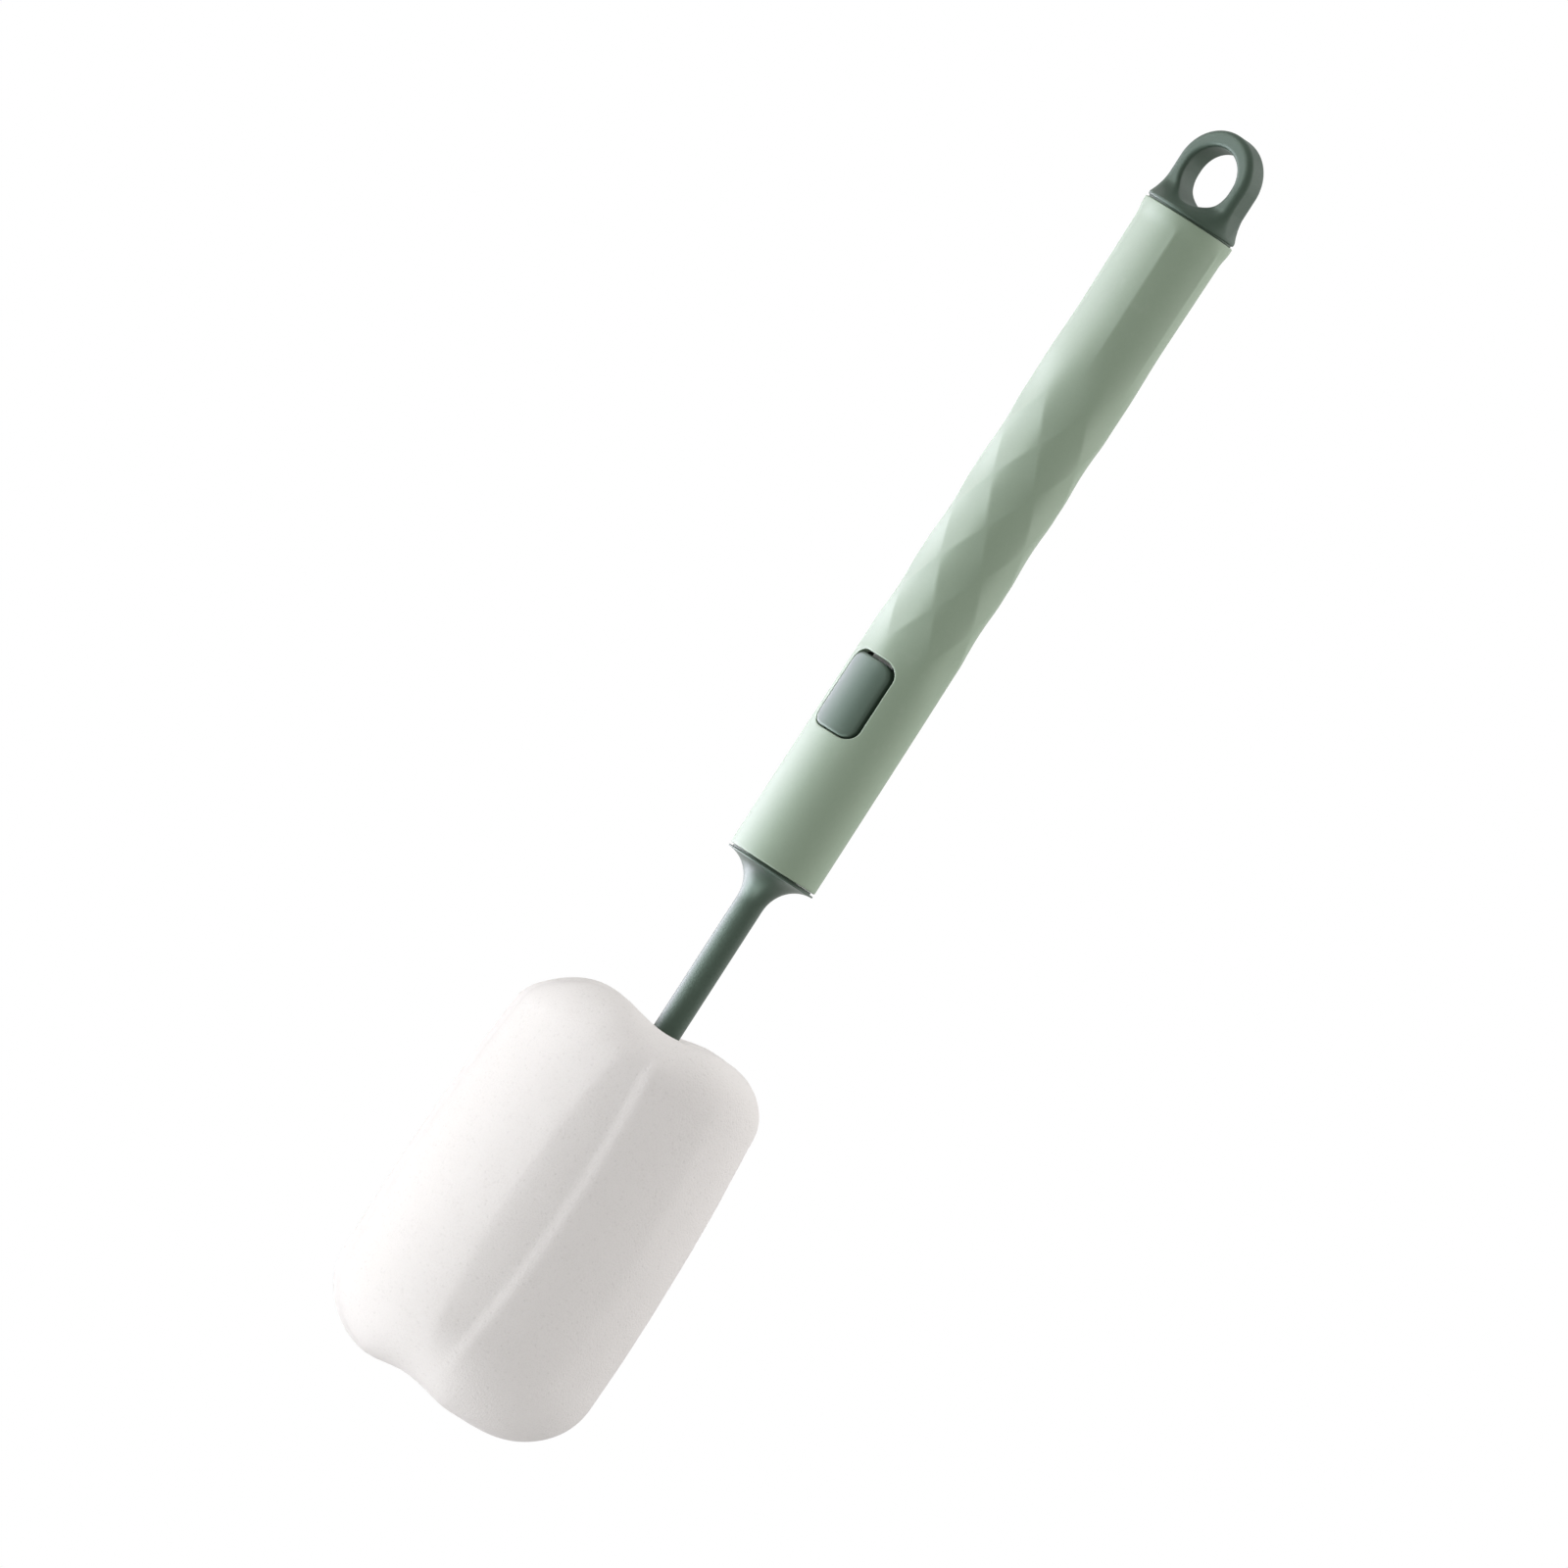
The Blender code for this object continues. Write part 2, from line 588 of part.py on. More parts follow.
def press_creases(mesh):
    """Presses in the creases that part the lobes: down the side, and as grooves across the top and end."""
    bore = BARB_RADIUS + 2 * CLEARANCE
    middle = SPONGE_LENGTH * SPONGE_WIDEST_SHARE
    for vert in mesh.vertices:
        radius = math.hypot(vert.co.x, vert.co.y)
        inside = vert.co.z > 0 and radius < bore and vert.co.z < SPONGE_LENGTH
        if inside:
            continue
        spacing = 2 * math.pi / CREASE_COUNT
        angle = math.atan2(vert.co.y, vert.co.x)
        off = abs((angle + spacing / 2) % spacing - spacing / 2)
        off_line = radius * math.sin(off)
        groove = max(0, 1 - (off_line / CREASE_HALF_WIDTH) ** 2) ** 2
        side = max(0, 1 - off / CREASE_SPREAD) ** 2
        if vert.co.z > middle:
            end_share = smooth((vert.co.z - SPONGE_LENGTH + SPONGE_TOP_CORNER) / SPONGE_TOP_CORNER)
            vert.co.z -= CREASE_TOP_DIP * groove * end_share
        else:
            end_share = smooth((SPONGE_END_CORNER - vert.co.z) / SPONGE_END_CORNER)
            vert.co.z += CREASE_END_NOTCH * groove * end_share
        pressed = CREASE_DEPTH * side * (1 - end_share)
        vert.co.x *= 1 - pressed / max(radius, MERGE)
        vert.co.y *= 1 - pressed / max(radius, MERGE)
    return mesh


def make_sponge(parts, material):
    """The white foam head, a four-lobed barrel with a bore for the stem's anchor."""
    mesh = press_creases(turned_mesh("sponge", sponge_profile(), SPONGE_STEPS))
    sponge = place("sponge", mesh, parts, material)
    sponge.rotation_euler.z = CREASE_TURN
    return sponge


def loop_section(share):
    """Half width, half depth and roundness of the cap's neck, from its round rim (0) into the flat loop (1)."""
    ease = 1 - math.sqrt(max(0.0, 1 - (1 - share) ** 2))
    inner_width = LOOP_WIDTH / 2 - CLEARANCE
    inner_depth = LOOP_THICKNESS / 2 - CLEARANCE
    half_width = inner_width + (HANDLE_TOP_RADIUS - inner_width) * ease
    half_depth = inner_depth + (HANDLE_TOP_RADIUS - inner_depth) * ease
    power = 2 + 3 * (1 - ease)
    return half_width, half_depth, power


def neck_mesh(name):
    """Lofts the cap's neck from the round rim up to the loop's flat sided section."""
    work = bmesh.new()
    rows = []
    low = Z_CAP + CAP_RIM / 2
    levels = [i / FLARE_STEPS for i in range(FLARE_STEPS + 1)]
    heights = [(low, 0)] + [(Z_CAP + CAP_RIM + CAP_FLARE * share, share) for share in levels]
    for height, share in heights:
        half_width, half_depth, power = loop_section(share)
        row = []
        for i in range(CAP_STEPS):
            angle = 2 * math.pi * i / CAP_STEPS
            cosine = math.cos(angle)
            sine = math.sin(angle)
            x = math.copysign(abs(cosine) ** (2 / power), cosine) * half_width
            y = math.copysign(abs(sine) ** (2 / power), sine) * half_depth
            row.append(work.verts.new((x, y, height)))
        rows.append(row)
    for lower, upper in zip(rows, rows[1:]):
        for i in range(CAP_STEPS):
            j = (i + 1) % CAP_STEPS
            work.faces.new((lower[i], lower[j], upper[j], upper[i]))
    work.faces.new(list(reversed(rows[0])))
    work.faces.new(rows[-1])
    mesh = bpy.data.meshes.new(name)
    work.to_mesh(mesh)
    work.free()
    return mesh


def loop_outline(half_width, low, high, corner_share=1.0, count=10):
    """An upright outline with a flat or round foot and a half round top, as (x, z) points."""
    centre = high - half_width
    top = arc(0, centre, half_width, half_width, 0, 180, count)
    if corner_share:
        foot = low + half_width * corner_share
        return top + arc(0, foot, half_width, half_width * corner_share, 180, 360, count)
    return top + [(-half_width, low), (half_width, low)]


def upright_plate(name, outline, depth):
    """Stands an (x, z) outline up as a plate centred on the XZ plane."""
    mesh = plate_mesh(name, outline, -depth / 2, depth / 2)
    mesh.transform(Matrix.Rotation(math.pi / 2, 4, "X"))
    return mesh


def make_hanging_loop(parts, tools, material):
    """The dark green end cap: ribbed skirt in the tube, round rim, waisted neck and a flat loop."""
    skirt_low = Z_HANDLE_TOP - CAP_SKIRT_LENGTH
    skirt = BORE_RADIUS - CLEARANCE
    rib = BORE_RADIUS - CLEARANCE / 2
    hollow = skirt - CAP_SKIRT_WALL
    profile = [
        (0, Z_CAP + CAP_RIM),
        (HANDLE_TOP_RADIUS, Z_CAP + CAP_RIM),
        (HANDLE_TOP_RADIUS, Z_CAP),
        (skirt, Z_CAP),
        (skirt, skirt_low + 3 * CAP_RIB_HEIGHT),
        (rib, skirt_low + 2.5 * CAP_RIB_HEIGHT),
        (rib, skirt_low + 2 * CAP_RIB_HEIGHT),
        (skirt, skirt_low + CAP_RIB_HEIGHT),
        (skirt - CAP_SKIRT_WALL / 2, skirt_low),
        (hollow, skirt_low),
        (hollow, Z_CAP - CAP_RIM),
        (0, Z_CAP - CAP_RIM),
    ]
    cap = place("hanging_loop", turned_mesh("hanging_loop", profile, HANDLE_STEPS), parts, material)
    boolean(cap, place("loop_neck", neck_mesh("loop_neck"), tools), "UNION")
    outline = loop_outline(LOOP_WIDTH / 2, Z_CAP + CAP_RIM / 2, Z_LOOP_TOP, corner_share=0)
    plate = upright_plate("loop_plate", outline, LOOP_THICKNESS)
    ring = place("loop_plate", plate, tools)
    bevel = ring.modifiers.new("Rounded edges", "BEVEL")
    bevel.width = LOOP_EDGE
    bevel.segments = 3
    bevel.limit_method = "ANGLE"
    bevel.angle_limit = math.radians(40)
    boolean(cap, ring, "UNION")
    hole_half = LOOP_WIDTH / 2 - LOOP_SIDE_WALL
    hole = loop_outline(hole_half, Z_HANDLE_TOP + LOOP_FLOOR, Z_LOOP_TOP - LOOP_TOP_WALL)
    depth = 2 * HANDLE_TOP_RADIUS + OVERRUN
    boolean(cap, place("loop_hole", upright_plate("loop_hole", hole, depth), tools), "DIFFERENCE")
    return cap


def shade(thing, degrees=30):
    """Shades an object smooth, apart from its sharp edges."""
    thing.data.shade_smooth()
    thing.data.set_sharp_from_angle(angle=math.radians(degrees))


def hang_on(thing, parent):
    """Parents an object to an empty and keeps it where it is."""
    bpy.context.view_layer.update()
    thing.parent = parent
    thing.matrix_parent_inverse = parent.matrix_world.inverted()


def make_axis(name, location, parts):
    """Makes an empty on a joint's axis."""
    axis = bpy.data.objects.new(name, None)
    axis.location = location
    axis.empty_display_size = STEM_RADIUS
    parts.objects.link(axis)
    bpy.context.view_layer.update()
    return axis


def main():
    """Builds the brush."""
    clear_scene()
    parts = make_collection("sponge_bottle_brush")
    tools = make_collection("cutters")
    shell_green = make_material("light_green_plastic", (0.40, 0.52, 0.42), 0.38)
    dark_green = make_material("dark_green_plastic", (0.115, 0.155, 0.125), 0.42)
    housing_grey = make_material("lock_plastic", (0.55, 0.56, 0.55), 0.45)
    steel = make_material("spring_steel", (0.62, 0.62, 0.61), 0.28, 1.0)
    rubber = make_material("seal_rubber", (0.03, 0.03, 0.03), 0.75)
    foam = make_material("white_foam", (0.86, 0.85, 0.83), 0.95)

    sponge = make_sponge(parts, foam)
    stem = make_stem(parts, tools, dark_green)
    seal = make_seal_ring(parts, rubber)
    shell = make_handle_shell(parts, tools, shell_green)
    housing = make_lock_housing(parts, tools, housing_grey)
    clip = make_latch_clip(parts, steel)
    button = make_release_button(parts, tools, dark_green)
    loop = make_hanging_loop(parts, tools, dark_green)

    handle_axis = make_axis("handle_slide_axis", (0, 0, Z_JOINT), parts)
    button_axis = make_axis("button_slide_axis", (0, -BUTTON_BACK_Y, Z_LOCK), parts)
    for thing in (shell, housing, clip, loop, button_axis):
        hang_on(thing, handle_axis)
    hang_on(button, button_axis)
    for thing in (sponge, stem, seal, shell, housing, clip, button, loop):
        shade(thing)


main()
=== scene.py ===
"""Sponge bottle brush, dressed for the camera.

A white foam head sits on a dark green stem. The stem plugs into a light green handle with a soft diamond
grip, a dark green release button and a dark green hanging loop. Metres, +Z from the foam to the loop.
"""

import logging
import math
from dataclasses import dataclass
from enum import Enum
from functools import partialmethod
from typing import Callable, Optional, Union

import bmesh
import bpy
import numpy as np
from bpy.types import ID, Material, Mesh, Node, NodeSocket, NodeTree, Object
from mathutils import Matrix, Vector, noise


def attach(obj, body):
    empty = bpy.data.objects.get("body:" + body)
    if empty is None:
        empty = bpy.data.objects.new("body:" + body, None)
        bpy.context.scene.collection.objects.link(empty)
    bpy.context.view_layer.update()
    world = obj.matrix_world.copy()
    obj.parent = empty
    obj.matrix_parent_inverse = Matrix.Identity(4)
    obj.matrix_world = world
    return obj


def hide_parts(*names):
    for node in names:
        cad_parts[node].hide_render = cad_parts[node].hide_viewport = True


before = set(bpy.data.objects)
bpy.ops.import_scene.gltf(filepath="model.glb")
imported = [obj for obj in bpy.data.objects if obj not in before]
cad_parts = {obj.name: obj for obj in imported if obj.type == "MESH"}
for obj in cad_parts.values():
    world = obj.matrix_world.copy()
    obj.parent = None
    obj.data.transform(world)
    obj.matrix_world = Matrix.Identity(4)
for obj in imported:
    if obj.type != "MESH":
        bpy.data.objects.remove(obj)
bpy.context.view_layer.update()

LOG = logging.getLogger("brush")
MERGE = 0.000001

Number = Union["Field", float, int]
Place = tuple["Field", "Field", "Field"]
Rule = Callable[["Field", "Field"], Place]
Colour = tuple[float, float, float]
Outline = list[tuple[float, float]]


class Body(Enum):
    """The bodies that the brush's pieces ride on."""

    HEAD = "brush_head"
    HANDLE = "handle"
    BUTTON = "button"


class Side(Enum):
    """Which way the faces of a sheet point."""

    OUTER = 1
    INNER = -1


@dataclass(frozen=True)
class Field:
    """A value in a node tree. Sums, products and the like become Math nodes."""

    tree: NodeTree
    socket: NodeSocket

    def math(self, operation: str, *others: Number) -> "Field":
        """This value and others, put through a Math node."""
        return combine(self.tree, operation, self, *others)

    __add__ = __radd__ = partialmethod(math, "ADD")
    __sub__ = partialmethod(math, "SUBTRACT")
    __mul__ = __rmul__ = partialmethod(math, "MULTIPLY")
    __truediv__ = partialmethod(math, "DIVIDE")
    __mod__ = partialmethod(math, "FLOORED_MODULO")
    __neg__ = partialmethod(math, "MULTIPLY", -1.0)
    sine = partialmethod(math, "SINE")
    cosine = partialmethod(math, "COSINE")
    arcsine = partialmethod(math, "ARCSINE")
    root = partialmethod(math, "SQRT")
    size = partialmethod(math, "ABSOLUTE")
    sign = partialmethod(math, "SIGN")
    power = partialmethod(math, "POWER")
    least = partialmethod(math, "MINIMUM")
    most = partialmethod(math, "MAXIMUM")
    under = partialmethod(math, "LESS_THAN")

    def __rsub__(self, other: Number) -> "Field":
        """Subtracts from a plain number."""
        return combine(self.tree, "SUBTRACT", other, self)

    def __rtruediv__(self, other: Number) -> "Field":
        """Divides a plain number."""
        return combine(self.tree, "DIVIDE", other, self)

    def held(self, low: Number = 0.0, high: Number = 1.0) -> "Field":
        """The value, held between two others."""
        return self.most(low).least(high)

    def eased(self) -> "Field":
        """A share from 0 to 1 with soft ends, held there outside."""
        share = self.held()
        return share * share * (3.0 - 2.0 * share)

    def towards(self, other: Number, share: Number) -> "Field":
        """A share of the way from this value to another."""
        return self + (other - self) * share

    def soft_most(self, other: "Field", radius: Number) -> "Field":
        """The larger of two distances, with a round edge where they meet."""
        bend = length((self + radius).most(0.0), (other + radius).most(0.0))
        return self.most(other).least(radius * -1.0) + bend


def feed(tree: NodeTree, socket: NodeSocket, value: object) -> None:
    """Gives a node's input a link or a plain value.

    Args:
        tree: The tree that the node is in.
        socket: The node's input.
        value: A field, an output socket or a plain value.
    """
    if isinstance(value, Field):
        value = value.socket
    if isinstance(value, NodeSocket):
        tree.links.new(value, socket)
    else:
        socket.default_value = value


def combine(tree: NodeTree, operation: str, *values: Number) -> Field:
    """Makes a Math node.

    Args:
        tree: The tree to make it in.
        operation: The node's operation.
        values: Its inputs, in order.

    Returns:
        The node's result.
    """
    node = tree.nodes.new("ShaderNodeMath")
    node.operation = operation
    for socket, value in zip(node.inputs, values):
        feed(tree, socket, value)
    return Field(tree, node.outputs[0])


def length(across: Field, along: Field) -> Field:
    """The length of a flat step with these two parts."""
    return (across * across + along * along).root()


class Tree:
    """A node tree under construction."""

    def __init__(self, tree: NodeTree) -> None:
        """Takes the tree to build in."""
        self.tree = tree

    def fill(self, node: Node, **inputs: object) -> Node:
        """Feeds a node's inputs.

        Args:
            node: The node.
            inputs: Its inputs by name, with _ for a space.

        Returns:
            The node.
        """
        for key, value in inputs.items():
            feed(self.tree, node.inputs[key.replace("_", " ")], value)
        return node

    def node(self, kind: str, settings: Optional[dict] = None, **inputs: object) -> Node:
        """Makes a node.

        Args:
            kind: The node's type.
            settings: Properties to set on it.
            inputs: Its inputs by name, with _ for a space.

        Returns:
            The node.
        """
        node = self.tree.nodes.new(kind)
        for key, value in (settings or {}).items():
            setattr(node, key, value)
        return self.fill(node, **inputs)

    def read(self, node: Node, output: Union[int, str] = 0) -> Field:
        """One of a node's outputs, as a value for sums."""
        return Field(self.tree, node.outputs[output])

    def asks(self, name: str, kind: str, way: str = "INPUT") -> str:
        """Adds a named input or output to the tree, and gives back its identifier."""
        socket = self.tree.interface.new_socket(name, in_out=way, socket_type="NodeSocket" + kind)
        return socket.identifier

    def noise(self, place: NodeSocket, scale: Number, detail: float) -> Field:
        """A noise pattern, from 0 to 1."""
        return self.read(self.node("ShaderNodeTexNoise", Vector=place, Scale=scale, Detail=detail), "Fac")

    def blend(self, start: object, end: object, share: Field) -> NodeSocket:
        """Mixes two colours.

        Args:
            start: The colour at 0, plain or a node's output.
            end: The colour at 1.
            share: The share.

        Returns:
            The mixed colour.
        """
        node = self.node("ShaderNodeMix", {"data_type": "RGBA"}, Factor=share)
        for place, colour in ((6, start), (7, end)):
            feed(self.tree, node.inputs[place], (*colour, 1.0) if isinstance(colour, tuple) else colour)
        return node.outputs[2]

    def seen_rays(self) -> Field:
        """Tells what is seen from what is lit.

        Returns:
            1 for what is seen straight, mirrored or through glass, and 0 for light that falls on things.
        """
        rays = self.node("ShaderNodeLightPath")
        kinds = ("Camera", "Glossy", "Transmission")
        camera, glossy, through = (self.read(rays, f"Is {kind} Ray") for kind in kinds)
        return camera.most(glossy).most(through)


class ShapeTree(Tree):
    """A geometry tree under construction, with a named input for each size."""

    def __init__(self, name: str) -> None:
        """Starts an empty tree.

        Args:
            name: The tree's name.
        """
        super().__init__(bpy.data.node_groups.new(name, "GeometryNodeTree"))
        self.asks("Shape", "Geometry", "OUTPUT")
        self.enter, self.leave = self.node("NodeGroupInput"), self.node("NodeGroupOutput")
        self.values: dict[str, object] = {}
        self.sheets: list[NodeSocket] = []

    def sizes(self, owner: object, *names: str, **values: float) -> list[Field]:
        """Adds named sizes to the tree's inputs.

        Args:
            owner: The sub-assembly that is being built.
            names: Those of its fields that are sizes.
            values: Further sizes, by name.

        Returns:
            The sizes in this order, for use in rules.
        """
        values = {name: getattr(owner, name) for name in names} | values
        labels = {name.replace("_", " ").capitalize(): value for name, value in values.items()}
        for label, value in labels.items():
            self.values[self.asks(label, "Float")] = float(value)
        return [self.read(self.enter, label) for label in labels]

    def position(self) -> Place:
        """The three parts of a point's place."""
        split = self.node("ShaderNodeSeparateXYZ", Vector=self.node("GeometryNodeInputPosition").outputs[0])
        return tuple(Field(self.tree, output) for output in split.outputs)

    def sheet(
        self,
        cells: tuple[int, int],
        rule: Rule,
        side: Side = Side.OUTER,
        opening: Optional[tuple[int, int, int, int]] = None,
    ) -> None:
        """Lays a grid of cells by a rule, and keeps it for the finished shape.

        Args:
            cells: Cells across and along.
            rule: Gives a corner's place from its column and row.
            side: Which way the faces point.
            opening: First and last column, first and last row of the cells left out.
        """
        columns, rows = cells
        counts = {"Vertices_X": columns + 1, "Vertices_Y": rows + 1}
        grid = self.node("GeometryNodeMeshGrid", Size_X=float(columns), Size_Y=float(rows), **counts)
        across, along, _ = self.position()
        column, row = across + columns / 2, along + rows / 2
        shape = grid.outputs["Mesh"]
        if opening:
            first, last, low, high = opening
            off_column = (column - (first + last) / 2).size() / ((last - first) / 2)
            off_row = (row - (low + high) / 2).size() / ((high - low) / 2)
            picked = off_column.most(off_row).under(1.0)
            faces = {"domain": "FACE"}
            cut = self.node("GeometryNodeDeleteGeometry", faces, Geometry=shape, Selection=picked)
            shape = cut.outputs[0]
        x, y, z = rule(column, row)
        place = self.node("ShaderNodeCombineXYZ", X=x, Y=y, Z=z)
        shape = self.node("GeometryNodeSetPosition", Geometry=shape, Position=place.outputs[0]).outputs[0]
        if side is Side.INNER:
            shape = self.node("GeometryNodeFlipFaces", Mesh=shape).outputs[0]
        self.sheets.append(shape)

    def finish(self, shape: NodeSocket, name: str, material: Material) -> Object:
        """Ends the tree and turns its result into a plain mesh object.

        Args:
            shape: The geometry to end with.
            name: The piece's name.
            material: The piece's finish.

        Returns:
            The piece, at the origin, with its place in its mesh.
        """
        real = self.node("GeometryNodeRealizeInstances", Geometry=shape)
        self.values[self.asks("Finish", "Material")] = material
        coat = self.enter.outputs["Finish"]
        dressed = self.node("GeometryNodeSetMaterial", Geometry=real.outputs[0], Material=coat)
        self.fill(self.leave, Shape=dressed.outputs[0])
        blank = placed(name + "_blank", bpy.data.meshes.new(name + "_blank"))
        modifier = blank.modifiers.new("Shape", "NODES")
        modifier.node_group = self.tree
        for identifier, value in self.values.items():
            modifier[identifier] = value
        return settled(blank, name)

    def joined(self, name: str, material: Material) -> Object:
        """Joins the sheets into one closed skin.

        Args:
            name: The piece's name.
            material: The piece's finish.

        Returns:
            The piece.
        """
        join = self.node("GeometryNodeJoinGeometry")
        for shape in reversed(self.sheets):
            feed(self.tree, join.inputs[0], shape)
        merged = self.node("GeometryNodeMergeByDistance", Geometry=join.outputs[0], Distance=MERGE)
        return shaded(self.finish(merged.outputs[0], name, material))


def placed(name: str, data: ID) -> Object:
    """Puts a new object into the scene.

    Args:
        name: The object's name.
        data: Its mesh, light or camera.

    Returns:
        The object.
    """
    thing = bpy.data.objects.new(name, data)
    bpy.context.scene.collection.objects.link(thing)
    return thing


def evaluated(piece: Object) -> Mesh:
    """Carries out an object's modifiers.

    Args:
        piece: The object.

    Returns:
        A new mesh.
    """
    depsgraph = bpy.context.evaluated_depsgraph_get()
    depsgraph.update()
    return bpy.data.meshes.new_from_object(piece.evaluated_get(depsgraph))


def settled(blank: Object, name: str) -> Object:
    """Turns an object with its modifiers into a plain mesh object.

    Args:
        blank: The object, which is removed.
        name: The new object's name.

    Returns:
        The plain object.
    """
    mesh = evaluated(blank)
    mesh.transform(blank.matrix_world)
    bpy.data.objects.remove(blank, do_unlink=True)
    mesh.name = name
    return placed(name, mesh)


def shaded(piece: Object, sharp: float = 35.0) -> Object:
    """Shades a piece smooth.

    Args:
        piece: The piece.
        sharp: Edges that bend by more degrees than this stay sharp.

    Returns:
        The piece.
    """
    piece.data.shade_smooth()
    piece.data.set_sharp_from_angle(angle=math.radians(sharp))
    return piece


def turned(name: str, profile: Outline, steps: int, finish: Material) -> Object:
    """Turns a section round the Z axis.

    Args:
        name: The object's name.
        profile: The section's (radius, height) points, down its outer side.
        steps: Steps in a full turn.
        finish: The object's finish.

    Returns:
        The turned object.
    """
    mesh = bpy.data.meshes.new(name)
    edges = [(i, i + 1) for i in range(len(profile) - 1)]
    mesh.from_pydata([(radius, 0, height) for radius, height in profile], edges, [])
    blank = placed(name + "_section", mesh)
    screw = blank.modifiers.new("Turn", "SCREW")
    screw.steps = screw.render_steps = steps
    screw.use_merge_vertices = True
    screw.merge_threshold = MERGE
    piece = settled(blank, name)
    work = bmesh.new()
    work.from_mesh(piece.data)
    bmesh.ops.remove_doubles(work, verts=work.verts, dist=MERGE)
    bmesh.ops.recalc_face_normals(work, faces=work.faces)
    work.to_mesh(piece.data)
    work.free()
    piece.data.materials.append(finish)
    return piece


def rounded(profile: list[tuple[float, float, float]], steps: int) -> Outline:
    """Rounds the corners of a section.

    Args:
        profile: Its points as (radius, height, corner radius).
        steps: Steps in each corner.

    Returns:
        The finer section's (radius, height) points.
    """
    points = []
    for i, (radius, height, corner) in enumerate(profile):
        here = Vector((radius, height))
        if not corner or i in (0, len(profile) - 1):
            points.append((radius, height))
            continue
        back, ahead = (Vector(profile[j][:2]) - here for j in (i - 1, i + 1))
        reach = min(corner, back.length / 2, ahead.length / 2)
        start, end = here + back.normalized() * reach, here + ahead.normalized() * reach
        for k in range(steps + 1):
            share = k / steps
            point = start * (1 - share) ** 2 + here * 2 * share * (1 - share) + end * share**2
            points.append((point.x, point.y))
    return points


def prisms(name: str, outlines: list[tuple[Outline, float, float]]) -> Object:
    """Builds upright prisms as one object.

    Args:
        name: The object's name.
        outlines: Each prism's (x, y) corners, its low end and its high end.

    Returns:
        The object.
    """
    work = bmesh.new()
    for corners, low, high in outlines:
        lower, upper = ([work.verts.new((x, y, z)) for x, y in corners] for z in (low, high))
        for i in range(len(corners)):
            j = (i + 1) % len(corners)
            work.faces.new((lower[i], lower[j], upper[j], upper[i]))
        work.faces.new(lower[::-1])
        work.faces.new(upper)
    bmesh.ops.recalc_face_normals(work, faces=work.faces)
    mesh = bpy.data.meshes.new(name)
    work.to_mesh(mesh)
    work.free()
    return placed(name, mesh)


def merge_solids(piece: Object, tool: Object) -> None:
    """Joins a second solid to a piece, and removes the second object.

    Args:
        piece: The piece that stays.
        tool: The solid to join to it.
    """
    modifier = piece.modifiers.new("Join", "BOOLEAN")
    modifier.operation = "UNION"
    modifier.solver = "EXACT"
    modifier.object = tool
    mesh, old = evaluated(piece), piece.data
    piece.modifiers.remove(modifier)
    piece.data = mesh
    bpy.data.meshes.remove(old)
    bpy.data.objects.remove(tool, do_unlink=True)
    mesh.name = piece.name


class Paint(Tree):
    """A material under construction."""

    def __init__(self, name: str) -> None:
        """Starts a material.

        Args:
            name: The material's name.
        """
        self.material = bpy.data.materials.new(name)
        self.material.use_nodes = True
        super().__init__(self.material.node_tree)
        self.shader = self.tree.nodes["Principled BSDF"]
        self.place = self.node("ShaderNodeTexCoord").outputs["Object"]

    def pattern(self, group: NodeTree, size: float) -> tuple[Field, Field]:
        """The two outputs of a shared pattern, laid at a size."""
        node = self.node("ShaderNodeGroup", {"node_tree": group}, Place=self.place, Size=size)
        return self.read(node, 0), self.read(node, 1)

    def coated(self, relief: Field, depth: float, **inputs: object) -> Material:
        """Finishes the material.

        Args:
            relief: The surface's height, from 0 to 1.
            depth: How many metres a height of 1 stands for.
            inputs: The shader's other inputs by name, with _ for a space.

        Returns:
            The material.
        """
        bump = self.node("ShaderNodeBump", Height=relief, Distance=depth)
        self.fill(self.shader, Normal=bump.outputs[0], **inputs)
        return self.material


class Pattern(Tree):
    """A node group that several finishes share, with Place and Size in."""

    def __init__(self, name: str) -> None:
        """Starts a group.

        Args:
            name: The group's name.
        """
        super().__init__(bpy.data.node_groups.new(name, "ShaderNodeTree"))
        self.asks("Place", "Vector")
        self.asks("Size", "Float")
        enter = self.node("NodeGroupInput")
        self.place, self.size = enter.outputs["Place"], self.read(enter, "Size")

    def gives(self, **values: Field) -> NodeTree:
        """Ends the group.

        Args:
            values: Its outputs by name.

        Returns:
            The group.
        """
        for name in values:
            self.asks(name, "Float", "OUTPUT")
        self.fill(self.node("NodeGroupOutput"), **values)
        return self.tree


class SharedPaint:
    """The patterns that more than one finish uses, each built once."""

    def __init__(self) -> None:
        """Builds the patterns."""
        self.grain = self.make_grain()
        self.handling = self.make_handling()

    def make_grain(self) -> NodeTree:
        """The fine even grain that a spark-eroded mould leaves.

        Returns:
            A group with Height and Shade out.
        """
        group = Pattern("mould_grain")
        fine = group.noise(group.place, 1.0 / group.size, 3.0)
        coarse = group.noise(group.place, 0.31 / group.size, 2.0)
        height = fine * 0.65 + coarse * 0.35
        return group.gives(Height=height, Shade=(height - 0.35) / 0.3)

    def make_handling(self) -> NodeTree:
        """Slow clouds of polish and dust that handling leaves.

        Returns:
            A group with Polish and Dust out.
        """
        group = Pattern("handling")
        cloud = group.noise(group.place, 1.0 / group.size, 3.0)
        speck = group.noise(group.place, 9.0 / group.size, 4.0)
        dust = ((speck - 0.56) / 0.2).held() * ((0.6 - cloud) / 0.3).held()
        return group.gives(Polish=((cloud - 0.35) / 0.3).held(), Dust=dust)


